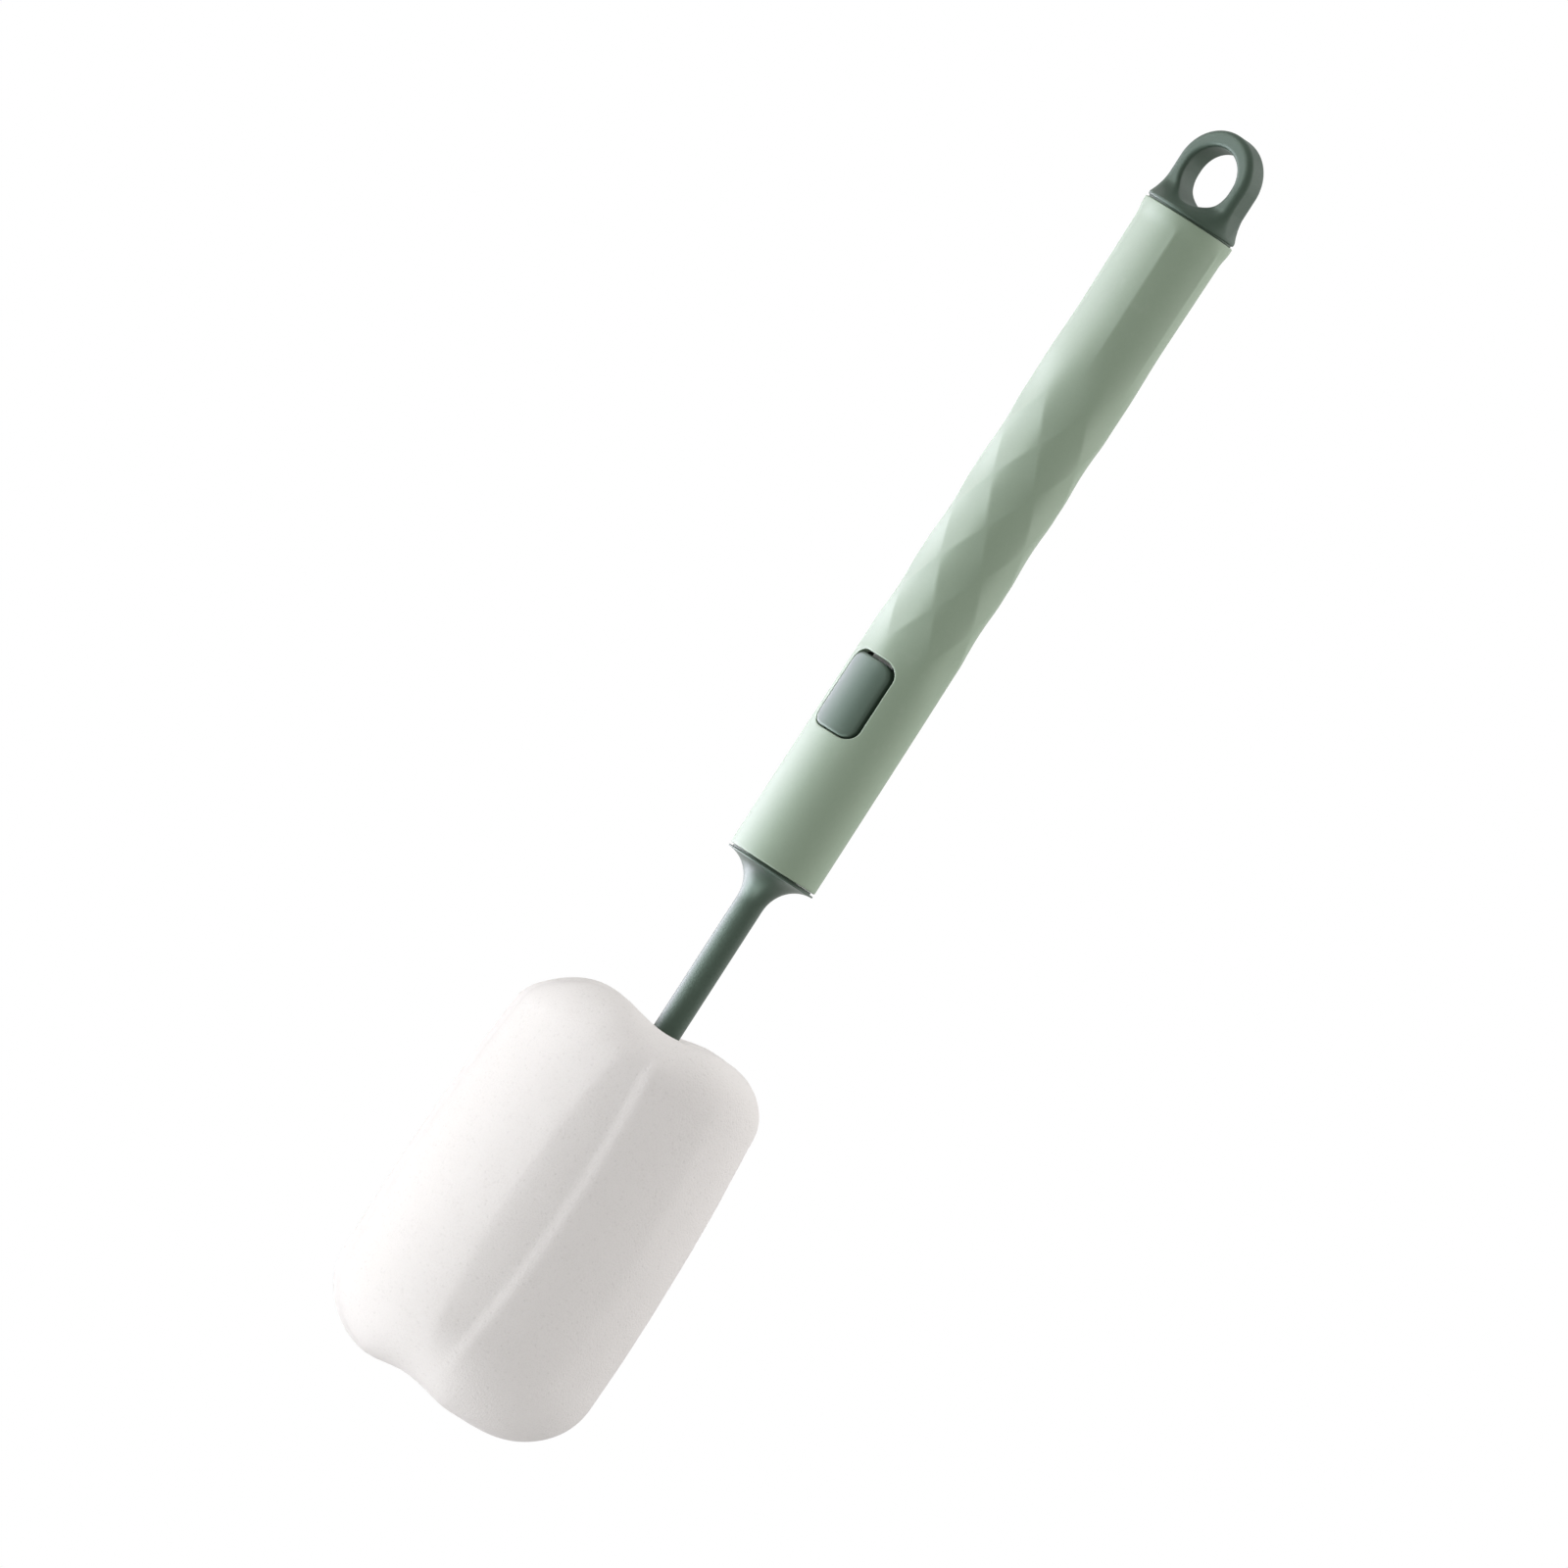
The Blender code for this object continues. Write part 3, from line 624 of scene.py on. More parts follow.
@dataclass(frozen=True)
class MouldedPlastic:
    """Satin moulded plastic with a fine mould grain and traces of handling."""

    name: str
    colour: Colour
    deep: Colour
    roughness: float
    specular: float
    specular_tint: Colour = (1.0, 1.0, 1.0)
    dust: float = 0.03
    dust_colour: Colour = (0.75, 0.75, 0.72)
    polish: float = 0.05
    grain_size: float = 0.00028
    grain_depth: float = 0.0000008
    patch_size: float = 0.024

    def material(self, shared: SharedPaint) -> Material:
        """Builds the material.

        Args:
            shared: The shared patterns.

        Returns:
            The material.
        """
        paint = Paint(self.name)
        height, shade = paint.pattern(shared.grain, self.grain_size)
        polish, dust = paint.pattern(shared.handling, self.patch_size)
        clean = paint.blend(self.colour, self.deep, (shade * 0.35 + polish * 0.3 + 0.1).held())
        return paint.coated(
            height,
            self.grain_depth,
            Base_Color=paint.blend(clean, self.dust_colour, dust * self.dust),
            Roughness=self.roughness + shade * 0.03 - polish * self.polish + dust * 0.05,
            Specular_IOR_Level=self.specular,
            Specular_Tint=(*self.specular_tint, 1.0),
        )


@dataclass(frozen=True)
class OpenFoam:
    """Soft white foam: fine cells and some larger pores, with painted shade in the cell pits, the pores and
    towards the glancing outline.
    """

    name: str = "white_foam"
    colour: Colour = (0.836, 0.818, 0.814)
    # The colour that the pits, pores and glancing outline are darkened towards: painted shade.
    pore: Colour = (0.687, 0.671, 0.664)
    cell_size: float = 0.00042
    pore_size: float = 0.0013
    pore_reach: float = 0.32
    cloud_scale: float = 140.0
    patch_size: float = 0.03
    relief: float = 0.00007
    # How far the outline is darkened where it is seen at a glance: painted shade.
    edge_shade: float = 0.75
    specular: float = 0.03

    def material(self, shared: SharedPaint) -> Material:
        """Builds the material.

        Args:
            shared: The shared patterns.

        Returns:
            The material.
        """
        paint = Paint(self.name)
        glance = paint.read(paint.node("ShaderNodeLayerWeight", Blend=0.5), "Facing")
        cell, spot = (
            paint.read(paint.node("ShaderNodeTexVoronoi", Vector=paint.place, Scale=1.0 / size), "Distance")
            for size in (self.cell_size, self.pore_size)
        )
        pore = (self.pore_reach - spot).held(0.0, self.pore_reach) / self.pore_reach
        cloud = paint.noise(paint.place, self.cloud_scale, 3.0)
        _, dust = paint.pattern(shared.handling, self.patch_size)
        # Painted shade in the cell pits, in the pores and, through the glance, towards the outline; the cloud
        # adds random tone and the dust adds real dust.
        shade = (0.5 - cell) * 0.5 + pore * 0.35 + (cloud - 0.5) * 0.25 + dust * 0.1
        shade = (shade.most(0.0) + glance * glance * self.edge_shade).held()
        return paint.coated(
            cell * 0.8 - pore * 0.7 + cloud * 0.5,
            self.relief,
            Base_Color=paint.blend(self.colour, self.pore, shade),
            Roughness=0.9 + pore * 0.1,
            Specular_IOR_Level=self.specular,
        )


@dataclass(frozen=True)
class DrawnSteel:
    """Spring steel wire with fine drawing lines."""

    name: str = "spring_steel"
    colour: Colour = (0.62, 0.62, 0.61)
    deep: Colour = (0.50, 0.50, 0.49)
    line_scale: Colour = (9000.0, 600.0, 9000.0)
    line_depth: float = 0.000006
    patch_size: float = 0.004

    def material(self, shared: SharedPaint) -> Material:
        """Builds the material.

        Args:
            shared: The shared patterns.

        Returns:
            The material.
        """
        paint = Paint(self.name)
        stretch = paint.node("ShaderNodeMapping", Vector=paint.place, Scale=self.line_scale)
        lines = paint.noise(stretch.outputs[0], 1.0, 3.0)
        polish, _ = paint.pattern(shared.handling, self.patch_size)
        return paint.coated(
            lines,
            self.line_depth,
            Base_Color=paint.blend(self.colour, self.deep, lines),
            Roughness=0.24 + lines * 0.12 - polish * 0.04,
            Metallic=1.0,
        )


@dataclass(frozen=True)
class SealRubber:
    """Black seal rubber, matt, with a thin bloom."""

    name: str = "seal_rubber"
    colour: Colour = (0.028, 0.028, 0.029)
    bloom: Colour = (0.06, 0.06, 0.06)
    grain_size: float = 0.00015
    grain_depth: float = 0.000008
    patch_size: float = 0.003

    def material(self, shared: SharedPaint) -> Material:
        """Builds the material.

        Args:
            shared: The shared patterns.

        Returns:
            The material.
        """
        paint = Paint(self.name)
        height, _ = paint.pattern(shared.grain, self.grain_size)
        polish, _ = paint.pattern(shared.handling, self.patch_size)
        colour = paint.blend(self.colour, self.bloom, polish)
        return paint.coated(height, self.grain_depth, Base_Color=colour, Roughness=0.72 - polish * 0.1)


class Finishes:
    """All the finishes of the brush."""

    def __init__(self) -> None:
        """Builds each material once."""
        shared = SharedPaint()
        dark = "dark_green_plastic"
        cool = {"specular_tint": (0.86, 1.0, 0.88), "dust": 0.02}
        plastics = (
            MouldedPlastic("light_green_plastic", (0.225, 0.299, 0.214), (0.205, 0.275, 0.196), 0.55, 0.5),
            MouldedPlastic(dark, (0.040, 0.064, 0.047), (0.034, 0.055, 0.040), 0.45, 0.4, **cool),
            # The loop's copy of the dark green: its lower specular is a duller face, and its lighter base
            # colour is painted light.
            MouldedPlastic(dark + "_dull", (0.047, 0.073, 0.055), (0.041, 0.064, 0.048), 0.50, 0.24, **cool),
            # Near-black for the lock housing: partly its own colour, partly chosen so that the gaps into the
            # handle's foot read dark, which is painted shade.
            MouldedPlastic("lock_plastic", (0.060, 0.065, 0.062), (0.046, 0.050, 0.048), 0.50, 0.35),
        )
        made = (plastic.material(shared) for plastic in plastics)
        self.light_green, self.dark_green, self.dull_green, self.lock_dark_and_seam_shade = made
        self.steel, self.rubber = DrawnSteel().material(shared), SealRubber().material(shared)
        self.foam = OpenFoam().material(shared)


def carried(piece: Object, body: Body, slot: str, *nodes: str) -> None:
    """Hands a finished piece to the frame.

    Args:
        piece: The piece.
        body: The body that carries it.
        slot: The record's material slot. Not used.
        nodes: The CAD nodes that it stands for.
    """
    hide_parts(*nodes)
    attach(piece, body.value)
    LOG.info("%s: %d faces, rides on %s", piece.name, len(piece.data.polygons), body.value)


@dataclass
class Levels:
    """The heights and fits that the sub-assemblies share."""

    sponge: float = 0.0908
    joint: float = 0.1284
    handle_length: float = 0.1572
    lock_above_joint: float = 0.03925
    clearance: float = 0.0003
    button_width: float = 0.0108
    button_length: float = 0.0175
    button_corner: float = 0.0028
    button_gap: float = 0.00045

    @property
    def lock(self) -> float:
        """The height of the button's middle."""
        return self.joint + self.lock_above_joint

    @property
    def top(self) -> float:
        """The height of the handle's upper end."""
        return self.joint + self.handle_length


@dataclass
class TubeLine:
    """The plain tube's radius at each height: a slim waist between a straight foot and a wider top."""

    end_radius: float = 0.01015
    waist_radius: float = 0.0099
    top_radius: float = 0.01045
    waist_share: float = 0.50
    wall: float = 0.0020

    @property
    def bore(self) -> float:
        """The radius of the tube's bore."""
        return self.waist_radius - self.wall

    def rule(self, tree: ShapeTree, levels: Levels) -> Callable[[Field], Field]:
        """Puts the sizes into a tree.

        Args:
            tree: The tree.
            levels: The shared heights.

        Returns:
            A function from a height to the radius there.
        """
        end, waist, top, share = tree.sizes(self, "end_radius", "waist_radius", "top_radius", "waist_share")
        joint, run = tree.sizes(levels, "joint", "handle_length")

        def radius(height: Field) -> Field:
            """The plain radius at a height.

            Args:
                height: The height.

            Returns:
                The radius there.
            """
            along = (height - joint) / run
            below = (1.0 - along / share).most(0.0)
            above = ((along - share) / (1.0 - share)).most(0.0)
            foot = (end - waist) * (below * (math.pi / 2)).sine()
            return waist + foot + (top - waist) * above * above

        return radius


@dataclass(frozen=True)
class Ring:
    """A ring of cells round a block: onto a round-cornered frame, over a lip, down a wall, along a back."""

    columns: int
    rows: int
    stages: tuple[int, int, int, int]

    @property
    def cells(self) -> tuple[int, int]:
        """Cells round the ring, and cells from its start to its end."""
        return 2 * (self.columns + self.rows), sum(self.stages)

    def walk(self, step: Field) -> tuple[Field, Field]:
        """Where the border is after a number of cells, counter-clockwise from its lower left corner.

        Args:
            step: The number of cells.

        Returns:
            Columns across and rows along from the block's middle.
        """
        wide, tall = float(self.columns), float(self.rows)
        across = step.held(0.0, wide) - (step - wide - tall).held(0.0, wide) - wide / 2
        along = (step - wide).held(0.0, tall) - (step - 2 * wide - tall).held(0.0, tall) - tall / 2
        return across, along

    def shares(self, row: Field) -> list[Field]:
        """How far a row is along each stage, from 0 to 1."""
        starts = [float(sum(self.stages[:i])) for i in range(len(self.stages))]
        return [((row - start) / float(count)).held() for start, count in zip(starts, self.stages)]


def onto_frame(
    place: tuple[Field, Field], frame: list[Field], lip: Field, share: Field
) -> tuple[Field, Field]:
    """Moves a place towards a rectangle with round corners.

    Args:
        place: Its way across and up from the rectangle's middle.
        frame: The rectangle's half width, half length and corner radius.
        lip: How far the goal lies outside the rectangle.
        share: The share of the way.

    Returns:
        The moved place.
    """
    x, z = place
    wide, tall, corner = frame
    near_x = x.held(-(wide - corner), wide - corner)
    near_z = z.held(-(tall - corner), tall - corner)
    away = length(x - near_x, z - near_z)
    goal_x = near_x + (x - near_x) / away * (corner + lip)
    goal_z = near_z + (z - near_z) / away * (corner + lip)
    return x.towards(goal_x, share), z.towards(goal_z, share)


@dataclass
class Handle:
    """The light green tube with its diamond grip, long panels and button window."""

    levels: Levels
    line: TubeLine
    columns: int = 192
    edge: float = 0.0003
    seat_lip: float = 0.0008
    seat_depth: float = 0.0019
    grip_start: float = 0.0527
    half_pitch: float = 0.00993
    half_rows: int = 6
    grip_columns: int = 12
    dip: float = 0.00034
    panel_dip: float = 0.00036
    panel_fade: float = 0.0150
    panel_corner: float = 0.0030
    panel_margin: float = 0.0016
    bead_rise: float = 0.00009
    bead_half: float = 0.0009
    bead_run: float = 0.0170
    window: Ring = Ring(46, 40, (8, 6, 1, 6))
    window_reach: float = 0.0103
    window_lip: float = 0.00035
    bore_opening: float = math.radians(58)
    edge_cells: int = 4
    foot_cells: int = 36
    dish_cells: int = 16
    panel_cells: int = 44
    link_cells: int = 6
    bore_cells: int = 12

    @property
    def turn(self) -> float:
        """The angle of one column."""
        return 2 * math.pi / self.columns

    @property
    def grip_low(self) -> float:
        """The height where the grip starts."""
        return self.levels.joint + self.grip_start

    def dip_rule(self, tree: ShapeTree) -> Callable[[Field, Field], Field]:
        """Puts the grip's sizes into a tree.

        Args:
            tree: The tree.

        Returns:
            A function from an angle and a height to the skin's depth under the plain tube there.
        """
        pitch, rows, dip, start = tree.sizes(self, "half_pitch", "half_rows", "dip", "grip_low")
        panel_dip, panel_fade, panel_corner, panel_end = tree.sizes(
            self, "panel_dip", "panel_fade", "panel_corner", panel_end=self.levels.top - self.panel_margin
        )
        bead_rise, bead_half, bead_run = tree.sizes(self, "bead_rise", "bead_half", "bead_run")
        step = 2 * math.pi / self.grip_columns
        width = 2 * step * self.line.waist_radius

        def depth(angle: Field, height: Field) -> Field:
            """The depth of the dishes and panels at a place.

            Args:
                angle: The angle from the button's middle.
                height: The height.

            Returns:
                How far the skin lies under the plain tube.
            """
            column, raw = angle / step, (height - start) / pitch
            row = raw.held(0.0, rows)
            fade = (1.0 + raw.least(0.0)).eased() * (1.0 - (raw - rows).most(0.0)).eased()
            along, across = ((row + column) * 0.5) % 1.0, ((row - column) * 0.5) % 1.0
            dish = along * (1.0 - along) * across * (1.0 - across) * 16.0
            between = ((column + 1.0) * 0.5) % 1.0
            side = between.least(1.0 - between) * width
            to_end = (panel_end - height).most(0.0)
            corner = length((panel_corner - side).most(0.0), (panel_corner - to_end).most(0.0))
            inset = (panel_corner - corner).most(0.0) / panel_corner
            trough = between * (1.0 - between) * 4.0
            panel = trough.least(inset * (2.0 - inset)).towards(trough, (side / (width * 0.5)) * 0.5)
            panel = panel_dip * ((raw - rows - 0.5) * pitch / panel_fade).eased() * panel
            end = (to_end / panel_corner).held()
            bead = (1.0 - side / bead_half).most(0.0) * (1.0 - to_end / bead_run).most(0.0).eased()
            return dip * fade * dish + panel * end * (2.0 - end) - bead_rise * bead * end

        return depth

    def build(self, finish: Material) -> Object:
        """Builds the tube's closed skin.

        Args:
            finish: The light green finish.

        Returns:
            The piece.
        """
        levels, line = self.levels, self.line
        tree = ShapeTree("handle_skin")
        radius, depth = line.rule(tree, levels), self.dip_rule(tree)
        top, middle, bore = tree.sizes(levels, "top", "lock", bore=line.bore)
        edge, reach, foot, seat, ceiling = tree.sizes(
            self,
            "edge",
            "window_reach",
            foot=levels.joint + levels.clearance,
            seat=line.bore + self.seat_lip,
            seat_ceiling=levels.joint + levels.clearance + self.seat_depth,
        )
        half, open_half = self.columns // 2, self.window.columns // 2
        open_angle = open_half * self.turn
        window_low, window_high = middle - reach, middle + reach

        def skin_radius(angle: Field, height: Field) -> Field:
            """The outer skin's radius, with its rounded ends.

            Args:
                angle: The angle from the button's middle.
                height: The height.

            Returns:
                The radius there.
            """
            to_top = ((edge - (top - height)) / edge).held()
            off = to_top.most(((edge - (height - foot)) / edge).held())
            return radius(height) - depth(angle, height) - edge * (1.0 - (1.0 - off * off).root())

        def wrapped(angle: Field, distance: Field, height: Field) -> Place:
            """The place at an angle from the button's middle, a distance and a height."""
            return angle.sine() * distance, angle.cosine() * distance * -1.0, height

        def ladder(row: Field, start: Field, rungs: list[tuple[int, Number]]) -> Field:
            """A height that climbs from a start in even steps, by (rows, height reached).

            Args:
                row: The corner's row.
                start: The height of row 0.
                rungs: Each stretch's rows and the height at its end.

            Returns:
                The corner's height.
            """
            height, low, first = start, start, 0
            for count, high in rungs:
                climbed = (row - float(first)).held(0.0, float(count))
                height = height + climbed * ((high - low) / float(count))
                low, first = high, first + count
            return height

        def opened(angle: Field) -> Field:
            """Spreads the bore's columns, so that the same ones frame the wider inner opening."""
            share = (angle.size() / open_angle).least((math.pi - angle.size()) / (math.pi - open_angle))
            return angle + angle.sign() * share * (self.bore_opening - open_angle)

        def cut_out(first: int) -> tuple[int, int, int, int]:
            """The window's cells in a sheet, from their first row."""
            return half - open_half, half + open_half, first, first + self.window.rows

        skin = [
            (self.edge_cells, foot + edge),
            (self.foot_cells, window_low),
            (self.window.rows, window_high),
            (self.link_cells, self.grip_low),
            (self.dish_cells * (self.half_rows + 1), self.grip_low + (self.half_rows + 1) * self.half_pitch),
            (self.panel_cells, top - edge),
            (self.edge_cells, top),
        ]
        tunnel = [(self.link_cells, window_low), (self.window.rows, window_high), (self.bore_cells, top)]

        def outer(column: Field, row: Field) -> Place:
            """The outer skin."""
            angle, height = (column - half) * self.turn, ladder(row, foot, skin)
            return wrapped(angle, skin_radius(angle, height), height)

        def inner(column: Field, row: Field) -> Place:
            """The bore."""
            return wrapped(opened((column - half) * self.turn), bore, ladder(row, ceiling, tunnel))

        def top_face(column: Field, row: Field) -> Place:
            """The flat ring at the tube's top."""
            angle = (column - half) * self.turn
            return wrapped(angle.towards(opened(angle), row), skin_radius(angle, top).towards(bore, row), top)

        def foot_face(column: Field, row: Field) -> Place:
            """The flat ring at the foot, the wall of the seat and the seat's ceiling.

            Args:
                column: The corner's column.
                row: The corner's row.

            Returns:
                The corner's place.
            """
            angle, share = (column - half) * self.turn, (row - 2.0).held()
            distance = skin_radius(angle, foot).towards(seat, row.held()).towards(bore, share)
            height = foot.towards(ceiling, (row - 1.0).held())
            return wrapped(angle.towards(opened(angle), share), distance, height)

        lower = self.edge_cells + self.foot_cells
        tree.sheet((self.columns, sum(rows for rows, _ in skin)), outer, opening=cut_out(lower))
        inner_rows = sum(rows for rows, _ in tunnel)
        tree.sheet((self.columns, inner_rows), inner, Side.INNER, cut_out(self.link_cells))
        tree.sheet((self.columns, 1), top_face)
        tree.sheet((self.columns, 3), foot_face, Side.INNER)
        self.frame_window(tree, radius, depth, (bore, middle, reach))
        return tree.joined("handle_skin", finish)

    def frame_window(
        self,
        tree: ShapeTree,
        radius: Callable[[Field], Field],
        depth: Callable[[Field, Field], Field],
        place: tuple[Field, Field, Field],
    ) -> None:
        """Lays the ring of cells between the skin's square opening and the window's rounded one.

        Args:
            tree: The handle's tree.
            radius: The plain tube's radius by height.
            depth: The grip's depth by angle and height.
            place: The bore's radius, the window's middle height and half the square opening's height.
        """
        levels, ring, gap = self.levels, self.window, self.levels.button_gap
        bore, middle, reach = place
        lip, *frame = tree.sizes(
            self,
            "window_lip",
            window_half_width=levels.button_width / 2 + gap,
            window_half_length=levels.button_length / 2 + gap,
            window_corner=levels.button_corner + gap,
        )
        bore_turn = self.bore_opening / (ring.columns / 2)

        def rule(column: Field, row: Field) -> Place:
            """From the square opening over the lip, down the wall and out along the bore.

            Args:
                column: The corner's column.
                row: The corner's row.

            Returns:
                The corner's place.
            """
            across, along = ring.walk(column)
            share, over, down, back = ring.shares(row)
            height = along * (reach * 2.0 / float(ring.rows))
            start = radius(middle + height) * (across * self.turn).sine()
            bend = over * (math.pi / 2)
            x, z = onto_frame((start, height), frame, lip * (1.0 - bend.sine()), share)
            plain = radius(middle + z)
            angle = (x / plain).arcsine()
            distance = plain - depth(angle, middle + z)
            front = distance * angle.cosine() * -1.0 + lip * (1.0 - bend.cosine())
            x, z = x.towards(bore * (across * bore_turn).sine(), back), z.towards(height, back)
            y = front.towards((bore * bore - x * x).root() * -1.0, down)
            return (distance * angle.sine()).towards(x, share).towards(x, down), y, middle + z

        tree.sheet(ring.cells, rule)


@dataclass
class ReleaseButton:
    """The dark green pad that lies flush in the handle's window, with its ears and prongs."""

    levels: Levels
    line: TubeLine
    ring: Ring = Ring(18, 36, (5, 6, 1, 4))
    rim: float = 0.0006
    play: tuple[float, float] = (-0.00032, -0.00030)
    back: float = 0.0063
    block_half_width: float = 0.0034
    block_half_length: float = 0.0068
    ear_width: float = 0.0060
    ear_reach: float = 0.0015
    ear_front: float = 0.00662
    prong_width: float = 0.0011
    prong_height: float = 0.0014
    prong_inner: float = 0.0034
    prong_slant: float = -0.0001

    def build(self, finish: Material) -> Object:
        """Builds the pad, and joins its ears and prongs to its back.

        Args:
            finish: The dark green finish.

        Returns:
            The piece.
        """
        levels, ring = self.levels, self.ring
        tree = ShapeTree("button_pad")
        radius = self.line.rule(tree, levels)
        rim, back, *frame = tree.sizes(
            self,
            "rim",
            "back",
            half_width=levels.button_width / 2,
            half_length=levels.button_length / 2,
            corner=levels.button_corner,
        )
        (middle,) = tree.sizes(levels, "lock")
        cell_x, cell_z = 2 * self.block_half_width / ring.columns, 2 * self.block_half_length / ring.rows

        def face(x: Field, z: Field) -> Field:
            """The pad's face, which follows the tube."""
            plain = radius(middle + z)
            return (plain * plain - x * x).root() * -1.0

        def spot(x: Field, y: Field, z: Field) -> Place:
            """A place on the pad, moved by the pad's play in its window."""
            return x + self.play[0], y, middle + z + self.play[1]

        def front_rule(column: Field, row: Field) -> Place:
            """The middle of the face."""
            x, z = (column - ring.columns / 2) * cell_x, (row - ring.rows / 2) * cell_z
            return spot(x, face(x, z), z)

        def back_rule(column: Field, row: Field) -> Place:
            """The middle of the flat back."""
            x, z = (column - ring.columns / 2) * cell_x, (row - ring.rows / 2) * cell_z
            return spot(x, -back, z)

        def rim_rule(column: Field, row: Field) -> Place:
            """From the middle of the face over the rim, down the side and in over the back.

            Args:
                column: The corner's column.
                row: The corner's row.

            Returns:
                The corner's place.
            """
            across, along = ring.walk(column)
            share, over, down, inner = ring.shares(row)
            start, bend = (across * cell_x, along * cell_z), over * (math.pi / 2)
            x, z = onto_frame(start, frame, rim * (1.0 - bend.sine()) * -1.0, share)
            x, z = x.towards(start[0], inner), z.towards(start[1], inner)
            return spot(x, (face(x, z) + rim * (1.0 - bend.cosine())).towards(-back, down), z)

        tree.sheet((ring.columns, ring.rows), front_rule)
        tree.sheet((ring.columns, ring.rows), back_rule, Side.INNER)
        tree.sheet(ring.cells, rim_rule, Side.INNER)
        pad = tree.joined("button_pad", finish)
        merge_solids(pad, self.fingers())
        return shaded(pad)

    def fingers(self) -> Object:
        """The ears that stop the button and the prongs that spread the clip.

        Returns:
            Both, as one object to join.
        """
        lock, half_ear = self.levels.lock, self.ear_width / 2
        half_span = self.levels.button_length / 2 + self.ear_reach
        front, back = -self.ear_front, -self.back
        ear = [(-half_ear, front), (half_ear, front), (half_ear, back), (-half_ear, back)]
        inner, outer = self.prong_inner, self.prong_inner + self.prong_width
        root = back - self.levels.clearance
        tips = [(x, self.prong_slant - x) for x in (outer, inner)]
        prong = [(inner, root), (outer, root), *tips]
        low, high = lock - self.prong_height / 2, lock + self.prong_height / 2
        sides = [([(side * x, y) for x, y in prong], low, high) for side in (-1, 1)]
        return prisms("button_fingers", [(ear, lock - half_span, lock + half_span), *sides])


